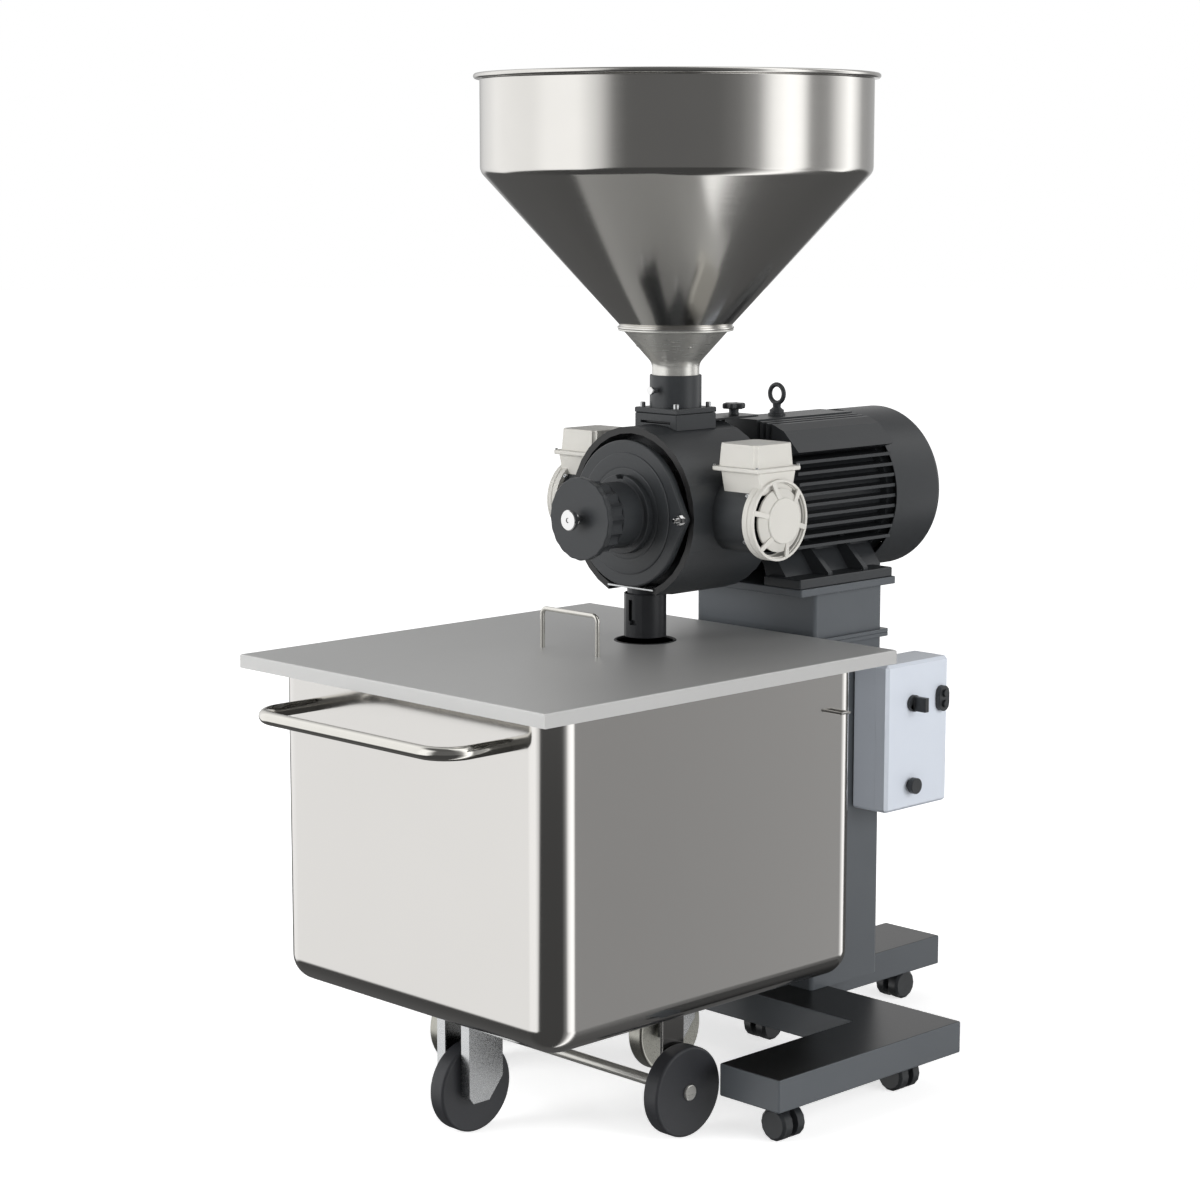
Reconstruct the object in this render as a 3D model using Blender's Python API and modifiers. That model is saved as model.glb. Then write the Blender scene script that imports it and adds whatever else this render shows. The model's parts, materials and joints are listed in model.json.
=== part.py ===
"""Disc grinding mill: motor-driven grinder on a wheeled stand, with hopper and roll-in collecting bin.

Metres, +Z up, -Y is the front (the side with the adjusting knob and the bin's push handle).
The heights are measured from the floor. The centre plane is x = 0, and y = 0 is the middle of
the bin lid; one empty then moves the whole mill so that the middle of its box is at the origin.
"""

import math

import bmesh
import bpy
from mathutils import Matrix, Vector

# ---------------------------------------------------------------- driving dimensions
GAP = 0.0003                 # clearance between pieces that touch
RUN = 0.0008                 # clearance around pieces that turn or slide

# stand
LEG_X = 0.395                # outer side of the front legs
LEG_W = 0.118                # width of every box section
LEG_FRONT_Y = 0.036
BAR_REAR_Y = 0.452           # rear side of the cross bar
TAIL_REAR_Y = 0.817          # end of the rear leg
BASE_TOP = 0.110
BASE_T = 0.0495              # height of the box section
COL_W = 0.256                # column across X
COL_FRONT_Y = 0.4085
COL_D = 0.161                # column along Y
COL_WALL = 0.004
FLANGE_Z = 0.671             # joint between column and head column
FLANGE_T = 0.006
FLANGE_OUT = 0.008
SEAT_Z = 0.7607              # top of the motor seat plate
SEAT_T = 0.012
SEAT_W = 0.280
SEAT_FRONT_Y = 0.362
SEAT_D = 0.226

# stand casters
TWIN_R = 0.025               # wheel radius
TWIN_W = 0.0185              # width of one wheel
TWIN_GAP = 0.011             # strap between the two wheels
TWIN_TRAIL = 0.014           # axle behind the swivel

# grinder
AXIS_Z = 0.8885              # shaft height
HOUSE_R = 0.131
HOUSE_FRONT_Y = 0.130
HOUSE_REAR_Y = 0.310
HOUSE_WALL = 0.010
COVER_R = 0.1115
COVER_T = 0.012
LUG_X = 0.1245
BURR_R = 0.090
BURR_T = 0.0145
BURR_EYE_R = 0.036           # hole in the fixed burr, where the grain enters
BURR_Y = 0.160               # plane between the two burrs
BARREL_R = 0.048             # feed barrel around the worm
WORM_R = 0.044
WORM_PITCH = 0.036
WORM_TURNS = 2.0
SHAFT_R = 0.018
KNOB_R = 0.0626
KNOB_FRONT_Y = 0.0194
KNOB_PLATE_T = 0.0105
KNOB_RING_R = 0.054
KNOB_RING_END_Y = 0.063
HUB_R = 0.050
COLLAR_R = 0.060
COLLAR_T = 0.013
STEM_R = 0.010
SHAFT_FRONT_Y = 0.104        # front end of the shaft, inside the cover's hub
PIN_KNOB_R = 0.0155
PIN_KNOB_OUT = 0.0232        # how far the centre knob stands out of the adjusting knob

# inlet, gate and hopper
FEED_Y = 0.2250              # axis of the throat and the hopper
INLET_S = 0.044              # half side of the square flange
INLET_TOP = 1.0443
INLET_PLATE_T = 0.0083
THROAT_R = 0.0397
THROAT_TOP = 1.0935
FEED_BORE = 0.030
GATE_Z = 1.0215
GATE_T = 0.003
GATE_W = 0.062
GATE_REAR_Y = 0.386
STAR_Y = 0.356
STAR_R = 0.0185
STAR_TOP = 1.0425
HOPPER_R = 0.2965
HOPPER_RIM_R = 0.3060
HOPPER_TOP = 1.5450
HOPPER_CONE_Z = 1.395
RING_Z = 1.1640
RING_R = 0.0890
NECK_R = 0.0362
NECK_TOP = 1.1110
NECK_IN = 0.030              # how deep the neck sits in the throat
SHEET = 0.0015

# cooling fans on both sides
FAN_Y = 0.2220
DUCT_R = 0.053
DUCT_END_X = 0.198
FAN_RING_R = 0.0610
FAN_RING_T = 0.017
GRILLE_OUT = 0.010
BOX_X0 = 0.130
BOX_X1 = 0.210
BOX_HALF_Y = 0.0435
BOX_TOP = 1.0010
BOX_FLANGE_Z = 0.960
BOX_FLANGE_T = 0.007
BOX_FLANGE_OUT = 0.007

# outlet
OUTLET_Y = 0.160
OUTLET_R = 0.0280            # fixed spout
SLEEVE_R = 0.0327
SLEEVE_WALL = 0.0022
SLEEVE_BOTTOM = 0.6975
SLEEVE_TOP = 0.7640
BRACKET_Z = 0.7735
BRACKET_T = 0.003
BRACKET_HALF_X = 0.0485
BRACKET_HALF_Y = 0.0330
DROP = 0.030                 # travel of the sleeve
SLOT_W = 0.0070
PIN_R = 0.0030
PIN_Z = 0.7210

# motor
MOTOR_FRONT_Y = 0.372
MOTOR_REAR_Y = 0.628
MOTOR_FLANGE_R = 0.118
END_R = 0.112                # rear end shield, inside the fan cowl
CORE_R = 0.098
FIN_TIP_R = 0.127
FIN_PITCH = 0.0165
FIN_T = 0.0050
FIN_COUNT = 9
MOTOR_TOP = 1.0170
FOOT_W = 0.277
FOOT_T = 0.015
FOOT_FRONT_Y = 0.3600
FOOT_REAR_Y = 0.5810
COWL_R = 0.130
COWL_FRONT_Y = 0.600
COWL_REAR_Y = 0.7145
COWL_WALL = 0.0025
EYE_Y = 0.456
EYE_R = 0.0145
EYE_WIRE = 0.0036
EYE_TOP = 1.0700

# control box on the right side of the column
CTRL_Y0 = 0.500
CTRL_Y1 = 0.652
CTRL_Z0 = 0.395
CTRL_Z1 = 0.632
CTRL_X0 = 0.1283
CTRL_SPLIT_X = 0.176
CTRL_X1 = 0.200
CTRL_WALL = 0.003

# collecting bin
LID_W = 0.660
LID_L = 0.7254
LID_TOP = 0.6907
LID_SKIRT = 0.0207
LID_T = 0.002
LID_HOLE_R = 0.0465
LID_HANDLE_W = 0.118
LID_HANDLE_H = 0.060
LID_ROD_R = 0.0036
TUB_W = 0.596
TUB_L = 0.642
TUB_BOTTOM = 0.193
TUB_CORNER = 0.047
TUB_FOOT_R = 0.040
TUB_WALL = 0.002
TUB_RIM = 0.012
HOOK_Y = 0.262
HOOK_Z = 0.606
HOOK_R = 0.0022
PUSH_X = 0.209
PUSH_Z = 0.625
PUSH_BAR_Y = -0.434
PUSH_R = 0.0098
PUSH_BEND = 0.046
WHEEL_R = 0.0675
WHEEL_W = 0.029
WHEEL_FACE_X = 0.250         # outer face of the fixed wheels
AXLE_R = 0.0085
CASTER_Y = 0.205
FORK_W = 0.066
FORK_DEPTH = 0.018
FORK_T = 0.003
FORK_BOTTOM = 0.052
PAD_T = 0.004                # caster pads welded under the tub

MIDDLE_Y = (TAIL_REAR_Y + PUSH_BAR_Y - PUSH_R) / 2
MM = 0.001

# material: colour, metallic, roughness
FINISHES = {
    "black_paint": ((0.024, 0.025, 0.026), 0.0, 0.42),
    "dark_paint": ((0.075, 0.085, 0.095), 0.2, 0.35),
    "black_steel": ((0.020, 0.021, 0.022), 0.3, 0.35),
    "stainless": ((0.62, 0.61, 0.59), 1.0, 0.24),
    "zinc": ((0.66, 0.67, 0.68), 1.0, 0.30),
    "chrome": ((0.78, 0.78, 0.78), 1.0, 0.08),
    "cast_steel": ((0.30, 0.30, 0.30), 1.0, 0.45),
    "warm_grey_plastic": ((0.60, 0.59, 0.56), 0.0, 0.45),
    "pale_grey_plastic": ((0.62, 0.66, 0.73), 0.0, 0.40),
    "black_plastic": ((0.022, 0.023, 0.024), 0.0, 0.45),
    "wheel_black": ((0.028, 0.029, 0.031), 0.0, 0.50),
    "wheel_steel": ((0.42, 0.42, 0.40), 1.0, 0.35),
}

PARTS = None
CUTTERS = None
ROOT = None


# ---------------------------------------------------------------- helpers
def start_scene():
    """Empties the scene and makes the two collections and the placing empty."""
    global PARTS, CUTTERS, ROOT
    for obj in list(bpy.data.objects):
        bpy.data.objects.remove(obj, do_unlink=True)
    PARTS = bpy.data.collections.new("grinding_mill")
    CUTTERS = bpy.data.collections.new("cutters")
    bpy.context.scene.collection.children.link(PARTS)
    bpy.context.scene.collection.children.link(CUTTERS)
    ROOT = bpy.data.objects.new("mill_origin", None)
    ROOT.location = (0, -MIDDLE_Y, 0)
    PARTS.objects.link(ROOT)


def finish_of(name):
    """The Principled material of a finish, made once."""
    mat = bpy.data.materials.get(name)
    if mat is None:
        mat = bpy.data.materials.new(name)
        mat.use_nodes = True
        shader = mat.node_tree.nodes["Principled BSDF"]
        colour, metallic, rough = FINISHES[name]
        shader.inputs["Base Color"].default_value = (*colour, 1)
        shader.inputs["Metallic"].default_value = metallic
        shader.inputs["Roughness"].default_value = rough
    return mat


def add(name, mesh, finish=None, at=(0, 0, 0), turn=None):
    """Puts a mesh into the scene as a part, or as a wire cutter when it has no finish."""
    obj = bpy.data.objects.new(name, mesh)
    obj.parent = ROOT
    obj.location = at
    if turn is not None:
        obj.rotation_euler = turn
    if finish is None:
        CUTTERS.objects.link(obj)
        obj.hide_render = True
        obj.display_type = "WIRE"
    else:
        PARTS.objects.link(obj)
        mesh.materials.append(finish_of(finish))
    return obj


def mesh_from(bm, name="shape"):
    """Turns a bmesh into a mesh with outward faces and smooth round sides."""
    bmesh.ops.recalc_face_normals(bm, faces=bm.faces)
    mesh = bpy.data.meshes.new(name)
    bm.to_mesh(mesh)
    bm.free()
    mesh.shade_smooth()
    mesh.set_sharp_from_angle(angle=math.radians(35))
    return mesh


def box_bm(low, high, bevel=0.0, segments=1):
    """A box between two corners, with its edges bevelled if asked."""
    bm = bmesh.new()
    bmesh.ops.create_cube(bm, size=1)
    low, high = Vector(low), Vector(high)
    size = high - low
    bmesh.ops.scale(bm, vec=size, verts=bm.verts)
    bmesh.ops.translate(bm, vec=(low + high) / 2, verts=bm.verts)
    if bevel:
        bmesh.ops.bevel(bm, geom=bm.edges[:], offset=bevel, segments=segments, profile=0.5, affect="EDGES")
    return bm


def box(low, high, bevel=0.0, segments=1):
    """Mesh of a box between two corners."""
    return mesh_from(box_bm(low, high, bevel, segments))


def axis_matrix(axis):
    """Turns the local Z axis onto the named axis."""
    turns = {"z": Matrix.Identity(4), "x": Matrix.Rotation(math.pi / 2, 4, "Y"),
             "y": Matrix.Rotation(-math.pi / 2, 4, "X")}
    return turns[axis]


def rod(radius, start, length, axis="z", sides=32, at=(0, 0, 0), bevel=0.0):
    """A cylinder from `start` along an axis, centred on the point `at` across it."""
    if length < 0:
        start, length = start + length, -length
    bm = bmesh.new()
    bmesh.ops.create_cone(bm, cap_ends=True, segments=sides, radius1=radius, radius2=radius, depth=length)
    if bevel:
        rims = [e for e in bm.edges if abs(e.verts[0].co.z - e.verts[1].co.z) < 1e-9]
        bmesh.ops.bevel(bm, geom=rims, offset=bevel, segments=1, affect="EDGES")
    bmesh.ops.translate(bm, vec=(0, 0, start + length / 2), verts=bm.verts)
    bmesh.ops.transform(bm, matrix=Matrix.Translation(at) @ axis_matrix(axis), verts=bm.verts)
    return mesh_from(bm)


def turned(name, points, finish, at=(0, 0, 0), axis="z", sides=48, closed=True):
    """A turned piece: (radius, height) points revolved with a Screw modifier.

    Closed outlines are rings. Open ones start and end on the axis. Outer sides run downwards.
    """
    mesh = bpy.data.meshes.new(name)
    count = len(points)
    edges = [(i, i + 1) for i in range(count - 1)]
    if closed:
        edges.append((count - 1, 0))
    mesh.from_pydata([(r, 0, z) for r, z in points], edges, [])
    obj = add(name, mesh, finish, at)
    obj.rotation_euler = axis_matrix(axis).to_euler()
    screw = obj.modifiers.new("turn", "SCREW")
    screw.axis = "Z"
    screw.steps = sides
    screw.render_steps = sides
    screw.use_merge_vertices = True
    screw.merge_threshold = 0.00001
    screw.use_normal_calculate = True
    screw.use_smooth_shade = True
    return obj


def ring(outer, inner, low, high):
    """Outline of a plain tube, for `turned`."""
    return [(outer, high), (outer, low), (inner, low), (inner, high)]


def baked(obj):
    """Replaces an object's mesh by its evaluated one, so that it can be cut or can cut."""
    graph = bpy.context.evaluated_depsgraph_get()
    graph.update()
    mesh = bpy.data.meshes.new_from_object(obj.evaluated_get(graph), depsgraph=graph)
    bm = bmesh.new()
    bm.from_mesh(mesh)
    bmesh.ops.remove_doubles(bm, verts=bm.verts, dist=0.00001)
    bmesh.ops.recalc_face_normals(bm, faces=bm.faces)
    bm.to_mesh(mesh)
    bm.free()
    if obj.type == "MESH":
        obj.modifiers.clear()
        obj.data = mesh
        return obj
    copy = bpy.data.objects.new(obj.name + "_mesh", mesh)
    copy.parent = obj.parent
    copy.matrix_local = obj.matrix_local
    for group in obj.users_collection:
        group.objects.link(copy)
    name = obj.name
    bpy.data.objects.remove(obj, do_unlink=True)
    copy.name = name
    return copy


def combine(obj, mesh, operation, at=(0, 0, 0), turn=None):
    """Adds an exact Boolean with a mesh, or with an object already made."""
    other = mesh
    if isinstance(mesh, bpy.types.Mesh):
        other = add(obj.name + "_tool", mesh, None, at, turn)
    else:
        for group in list(other.users_collection):
            group.objects.unlink(other)
        CUTTERS.objects.link(other)
        other.hide_render = True
        other.display_type = "WIRE"
    step = obj.modifiers.new(operation.lower(), "BOOLEAN")
    step.operation = operation
    step.solver = "EXACT"
    step.object = other
    return obj


def cut(obj, mesh, **place):
    """Takes a mesh away from an object."""
    return combine(obj, mesh, "DIFFERENCE", **place)


def join(obj, mesh, **place):
    """Adds a mesh to an object as one solid."""
    return combine(obj, mesh, "UNION", **place)


def plate(points, low, high, axis="z"):
    """A flat outline of (across, up) points extruded between two levels along an axis."""
    bm = bmesh.new()
    put = {"z": lambda a, b: (a, b, low), "y": lambda a, b: (a, low, b), "x": lambda a, b: (low, a, b)}[axis]
    face = bm.faces.new([bm.verts.new(put(a, b)) for a, b in points])
    moved = bmesh.ops.extrude_face_region(bm, geom=[face])["geom"]
    step = {"z": (0, 0, high - low), "y": (0, high - low, 0), "x": (high - low, 0, 0)}[axis]
    bmesh.ops.translate(bm, vec=step, verts=[g for g in moved if isinstance(g, bmesh.types.BMVert)])
    return mesh_from(bm)


def around(mesh, count, axis, phase=0.0):
    """One mesh with `count` copies of a mesh, spread evenly round an axis through the origin."""
    bm = bmesh.new()
    for i in range(count):
        before = len(bm.verts)
        bm.from_mesh(mesh)
        bm.verts.ensure_lookup_table()
        turn = Matrix.Rotation(2 * math.pi * (i + phase) / count, 4, axis.upper())
        bmesh.ops.transform(bm, matrix=turn, verts=bm.verts[before:])
    return mesh_from(bm)


def arc(centre, radius, start, stop, steps):
    """Points of a circular arc, in degrees, both ends included."""
    out = []
    for i in range(steps + 1):
        angle = math.radians(start + (stop - start) * i / steps)
        out.append((centre[0] + radius * math.cos(angle), centre[1] + radius * math.sin(angle)))
    return out


def wire(name, points, radius, finish, resolution=2, at=(0, 0, 0)):
    """A bent round rod along hand-placed points, as a capped curve turned to a mesh."""
    curve = bpy.data.curves.new(name, "CURVE")
    curve.dimensions = "3D"
    curve.bevel_depth = radius
    curve.bevel_resolution = resolution
    curve.use_fill_caps = True
    spline = curve.splines.new("POLY")
    spline.points.add(len(points) - 1)
    for point, spot in zip(spline.points, points):
        point.co = (*spot, 1)
    obj = add(name, curve, finish, at)
    return baked(obj)


def u_path(half, depth, bend, steps=6):
    """A U in the plane (across, out): two legs of `depth`, joined by a bar with round bends."""
    left = arc((-half + bend, depth - bend), bend, 180, 90, steps)
    right = arc((half - bend, depth - bend), bend, 90, 0, steps)
    return [(-half, 0.0)] + left + right + [(half, 0.0)]


# ---------------------------------------------------------------- stand
def build_stand():
    """Base with two front legs and a rear leg, the column, and the head column with its seat."""
    inner = LEG_X - LEG_W
    bar_front = BAR_REAR_Y - LEG_W
    tail = LEG_W / 2
    right = [(LEG_X, LEG_FRONT_Y), (LEG_X, BAR_REAR_Y), (tail, BAR_REAR_Y), (tail, TAIL_REAR_Y)]
    left = [(-x, y) for x, y in reversed(right)]
    notch = [(-inner, LEG_FRONT_Y), (-inner, bar_front), (inner, bar_front), (inner, LEG_FRONT_Y)]
    base = add("base_frame", plate(right + left + notch, BASE_TOP - BASE_T, BASE_TOP), "dark_paint")
    soften = base.modifiers.new("edge", "BEVEL")
    soften.width = 0.002
    soften.segments = 1
    soften.limit_method = "ANGLE"

    col_rear = COL_FRONT_Y + COL_D
    half = COL_W / 2
    column = add("column", box((-half, COL_FRONT_Y, BASE_TOP + GAP), (half, col_rear, FLANGE_Z)),
                 "dark_paint")
    join(column, box((-half - FLANGE_OUT, COL_FRONT_Y - FLANGE_OUT, FLANGE_Z - FLANGE_T),
                     (half + FLANGE_OUT, col_rear + FLANGE_OUT, FLANGE_Z)))
    hollow(column, BASE_TOP - 0.01, FLANGE_Z + 0.01)

    head = add("head_column", box((-half, COL_FRONT_Y, FLANGE_Z + GAP), (half, col_rear, SEAT_Z - SEAT_T)),
               "dark_paint")
    join(head, box((-half - FLANGE_OUT, COL_FRONT_Y - FLANGE_OUT, FLANGE_Z + GAP),
                   (half + FLANGE_OUT, col_rear + FLANGE_OUT, FLANGE_Z + FLANGE_T)))
    join(head, box((-SEAT_W / 2, SEAT_FRONT_Y, SEAT_Z - SEAT_T), (SEAT_W / 2, SEAT_FRONT_Y + SEAT_D, SEAT_Z)))
    hollow(head, FLANGE_Z - 0.01, SEAT_Z - SEAT_T)


def hollow(obj, low, high):
    """Opens a column along its height, leaving its wall."""
    half = COL_W / 2 - COL_WALL
    rear = COL_FRONT_Y + COL_D - COL_WALL
    cut(obj, box((-half, COL_FRONT_Y + COL_WALL, low), (half, rear, high)))


def stand_caster_places():
    """Swivel point and rest heading (degrees about Z) of each caster."""
    side = LEG_X - LEG_W / 2
    front = LEG_FRONT_Y + LEG_W / 2
    bar = BAR_REAR_Y - LEG_W / 2
    tail = TAIL_REAR_Y - LEG_W / 2
    return [("right_front", side, front, 0), ("right_rear", side, bar, 180), ("left_front", -side, front, 0),
            ("left_rear", -side, bar, 180), ("middle", 0.0, bar + 0.03, 90), ("tail", 0.0, tail, 90)]


def build_stand_casters():
    """Twin-wheel casters: the axle trails along local +X, the strap stands between the wheels."""
    under = BASE_TOP - BASE_T - GAP
    hub = 0.008
    half_strap = TWIN_GAP / 2 - RUN
    for place, x, y, heading in stand_caster_places():
        turn = (0, 0, math.radians(heading))
        strap = [(-0.011, under - 0.004), (-0.011, under - 0.014)]
        strap += arc((TWIN_TRAIL, TWIN_R), 0.0135, 215, 325, 3)
        strap += [(0.024, under - 0.020), (0.018, under - 0.004)]
        hood = add("stand_caster_strap_" + place, plate(strap, -half_strap, half_strap, "y"),
                   "black_plastic", (x, y, 0), turn)
        join(hood, rod(0.019, under - 0.0045, 0.0045, sides=12), at=(x, y, 0))
        cut(hood, rod(hub / 2 + RUN, -0.02, 0.04, "y", 8, (TWIN_TRAIL, 0, TWIN_R)), at=(x, y, 0), turn=turn)
        outer = TWIN_GAP / 2 + TWIN_W
        inner = TWIN_GAP / 2
        profile = [(0, -outer), (TWIN_R - 0.004, -outer), (TWIN_R, -outer + 0.004), (TWIN_R, -inner),
                   (hub / 2, -inner)]
        profile += [(r, -z) for r, z in reversed(profile)]
        wheels = turned("stand_caster_wheels_" + place, list(reversed(profile)), "wheel_black", axis="y",
                        sides=14, closed=False)
        spin = Matrix.Rotation(turn[2], 4, "Z")
        trail = Matrix.Translation((TWIN_TRAIL, 0, TWIN_R))
        wheels.matrix_local = Matrix.Translation((x, y, 0)) @ spin @ trail @ axis_matrix("y")


# ---------------------------------------------------------------- grinder
def build_housing():
    """Grinding chamber in front, feed barrel behind it, and an air space around the barrel.

    The air space is open at the back, where the motor's flange closes it. Each side has a duct
    stub whose end wall carries a fan pin, with holes that let the air through.
    """
    depth = HOUSE_REAR_Y - HOUSE_FRONT_Y
    bore = HOUSE_R - HOUSE_WALL
    barrel_outer = BARREL_R + 0.012
    wall_front = BURR_Y + GAP + BURR_T + GAP - HOUSE_FRONT_Y
    wall_rear = wall_front + 0.010
    shaft_hole = SHAFT_R + RUN
    outline = [(HOUSE_R, depth), (HOUSE_R, 0), (bore, 0), (bore, wall_front), (BARREL_R, wall_front),
               (BARREL_R, depth - 0.018), (shaft_hole, depth - 0.018), (shaft_hole, depth - 0.004),
               (barrel_outer, depth - 0.004), (barrel_outer, wall_rear), (bore, wall_rear), (bore, depth)]
    house = turned("grinder_housing", outline, "black_paint", (0, HOUSE_FRONT_Y, AXIS_Z), "y", 32)
    baked(house)
    saddle = math.sqrt(HOUSE_R ** 2 - DUCT_R ** 2) - 0.006
    wall_x = HOUSE_R + 0.006
    spot = (0, FAN_Y, AXIS_Z)
    for side in (-1, 1):
        duct = add("duct_tool", rod(DUCT_R, side * saddle, side * (DUCT_END_X - saddle), "x", 20, spot))
        cut(duct, rod(bore + 0.001, HOUSE_FRONT_Y - 0.05, depth + 0.1, "y", 28, (0, 0, AXIS_Z)))
        cut(duct, rod(DUCT_R - 0.003, side * wall_x, side * 0.2, "x", 20, spot))
        join(duct, rod(0.004, side * (wall_x - 0.002), side * (DUCT_END_X - 0.002 - wall_x), "x", 8, spot))
        join(house, baked(duct))
        hole = rod(0.010, side * (bore - 0.02), side * 0.05, "x", 8, (0, 0, 0.030))
        cut(house, around(hole, 3, "x"), at=spot)
    join(house, rod(FEED_BORE + 0.005, AXIS_Z + BARREL_R + 0.004, HOUSE_R - BARREL_R - 0.012, "z", 16,
                    (0, FEED_Y, 0)))
    cut(house, rod(FEED_BORE, AXIS_Z + 0.030, 0.12, "z", 16, (0, FEED_Y, 0)))
    cut(house, box((-BRACKET_HALF_X - GAP, HOUSE_FRONT_Y - 0.01, AXIS_Z - HOUSE_R - 0.01),
                   (BRACKET_HALF_X + GAP, OUTLET_Y + BRACKET_HALF_Y + GAP, BRACKET_Z + BRACKET_T + GAP)))


def cover_outline():
    """Round cover with a pointed lug on each side, as tangents from the lug to the circle."""
    tip = 0.007
    reach = LUG_X - tip
    opening = math.degrees(math.acos((COVER_R - tip) / reach))
    points = arc((reach, 0), tip, -opening, opening, 3)
    points += arc((0, 0), COVER_R, opening, 180 - opening, 13)
    points += arc((-reach, 0), tip, 180 - opening, 180 + opening, 3)
    points += arc((0, 0), COVER_R, 180 + opening, 360 - opening, 13)
    return points


def build_cover():
    """Front cover of the housing, with its lugs and the boss that carries the adjusting knob."""
    back = HOUSE_FRONT_Y - GAP
    face = back - COVER_T
    outline = [(x, z + AXIS_Z) for x, z in cover_outline()]
    cover = add("front_cover", plate(outline, face, back, "y"), "black_paint")
    join(cover, rod(0.0925, face - 0.0025, 0.004, "y", 28, (0, 0, AXIS_Z)))
    join(cover, rod(COLLAR_R, face - COLLAR_T, COLLAR_T + 0.002, "y", 24, (0, 0, AXIS_Z)))
    join(cover, rod(HUB_R, KNOB_RING_END_Y + RUN, face - KNOB_RING_END_Y, "y", 20, (0, 0, AXIS_Z)))
    cut(cover, box((-0.006, face - COLLAR_T - 0.001, AXIS_Z + HUB_R + 0.003),
                   (0.006, face - 0.004, AXIS_Z + COLLAR_R + 0.01)))
    cut(cover, rod(SHAFT_R + RUN, SHAFT_FRONT_Y - 0.002, 0.08, "y", 16, (0, 0, AXIS_Z)))
    cut(cover, rod(STEM_R + RUN, KNOB_FRONT_Y, 0.12, "y", 12, (0, 0, AXIS_Z)))


def build_knobs():
    """Fluted adjusting knob with its stem in the hub, and the small centre knob."""
    knob = add("adjusting_knob", plate(scallop(KNOB_R, 0.0022, 20), 0, KNOB_PLATE_T), "black_paint",
               (0, KNOB_FRONT_Y, AXIS_Z), (-math.pi / 2, 0, 0))
    length = KNOB_RING_END_Y - KNOB_FRONT_Y
    join(knob, plate(scallop(KNOB_RING_R, 0.0035, 16), KNOB_PLATE_T - 0.001, length), at=knob.location,
         turn=(-math.pi / 2, 0, 0))
    stem_start = KNOB_RING_END_Y - 0.001
    join(knob, rod(STEM_R, stem_start, SHAFT_FRONT_Y - GAP - stem_start, "y", 12, (0, 0, AXIS_Z)))
    cut(knob, rod(0.0045 + RUN, KNOB_FRONT_Y - 0.01, 0.028, "y", 12, (0, 0, AXIS_Z)))
    out = PIN_KNOB_OUT
    outline = [(0, 0.016), (0.0045, 0.016), (0.0045, 0.0 - GAP), (0.0080, 0.0 - GAP), (0.0080, -0.006),
               (0.0060, -0.008), (0.0060, -out + 0.008), (PIN_KNOB_R, -out + 0.007),
               (PIN_KNOB_R, -out + 0.0015), (PIN_KNOB_R - 0.0015, -out), (0, -out)]
    turned("lock_knob", outline, "chrome", (0, KNOB_FRONT_Y, AXIS_Z), "y", 16, closed=False)


def scallop(radius, depth, lobes):
    """Outline of a grip: a circle with a smooth wave of `lobes` hollows."""
    steps = lobes * 2
    out = []
    for i in range(steps):
        angle = 2 * math.pi * i / steps
        here = radius - depth * (0.5 - 0.5 * math.cos(lobes * angle))
        out.append((here * math.cos(angle), here * math.sin(angle)))
    return out


def grinding_slots(face_y, phase):
    """Four radial slots, 3 mm deep on each side of a burr's face."""
    slot = box((0.030, face_y - 0.003, -0.003), (BURR_R + 0.01, face_y + 0.003, 0.003))
    return around(slot, 4, "y", phase)


def build_burrs():
    """Fixed burr on the chamber's back wall, and the burr on the shaft in front of it."""
    fixed_y = BURR_Y + GAP
    fixed = turned("fixed_burr", ring(BURR_R, BURR_EYE_R, fixed_y, fixed_y + BURR_T), "cast_steel",
                   (0, 0, AXIS_Z), "y", 24)
    cut(baked(fixed), grinding_slots(fixed_y, 0.0), at=(0, 0, AXIS_Z))
    moving_y = BURR_Y - GAP
    moving = turned("rotating_burr", ring(BURR_R, SHAFT_R + GAP, moving_y - BURR_T, moving_y), "cast_steel",
                    (0, 0, AXIS_Z), "y", 24)
    cut(baked(moving), grinding_slots(moving_y, 0.5), at=(0, 0, AXIS_Z))


def worm_flight(start_y):
    """A helical flight: a thin radial strip carried round the shaft while it moves back."""
    steps_per_turn = 10
    phase = 0.13
    steps = int(WORM_TURNS * steps_per_turn)
    half = 0.0022
    inner = SHAFT_R - 0.004
    bm = bmesh.new()
    rings = []
    for i in range(steps + 1):
        angle = phase + 2 * math.pi * i / steps_per_turn
        y = start_y + WORM_PITCH * i / steps_per_turn
        corners = [(inner, -half), (WORM_R, -half), (WORM_R, half), (inner, half)]
        rings.append([bm.verts.new((r * math.cos(angle), y + dy, r * math.sin(angle))) for r, dy in corners])
    for here, there in zip(rings, rings[1:]):
        for k in range(4):
            bm.faces.new((here[k], here[(k + 1) % 4], there[(k + 1) % 4], there[k]))
    bm.faces.new(rings[0])
    bm.faces.new(list(reversed(rings[-1])))
    return mesh_from(bm)


def build_shaft():
    """One shaft through grinder and motor: burr carrier in front, feed worm, fan at the back."""
    end = COWL_REAR_Y - 0.030
    place = (0, 0, AXIS_Z)
    shaft = add("main_shaft", rod(SHAFT_R, SHAFT_FRONT_Y, end - SHAFT_FRONT_Y, "y", 16, place), "cast_steel")
    carrier_rear = BURR_Y - GAP - BURR_T - GAP
    join(shaft, rod(0.050, carrier_rear - 0.010, 0.010, "y", 20, place))
    join(shaft, worm_flight(BURR_Y + BURR_T + 0.010), at=place)
    fan_y = COWL_REAR_Y - 0.060
    fan = turned("motor_fan", ring(0.045, SHAFT_R + GAP, fan_y, fan_y + 0.022), "black_plastic", place,
                 "y", 16)
    blade = box((0.040, fan_y + 0.001, -0.0012), (0.112, fan_y + 0.021, 0.0012))
    join(baked(fan), around(blade, 7, "y"), at=place)


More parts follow.
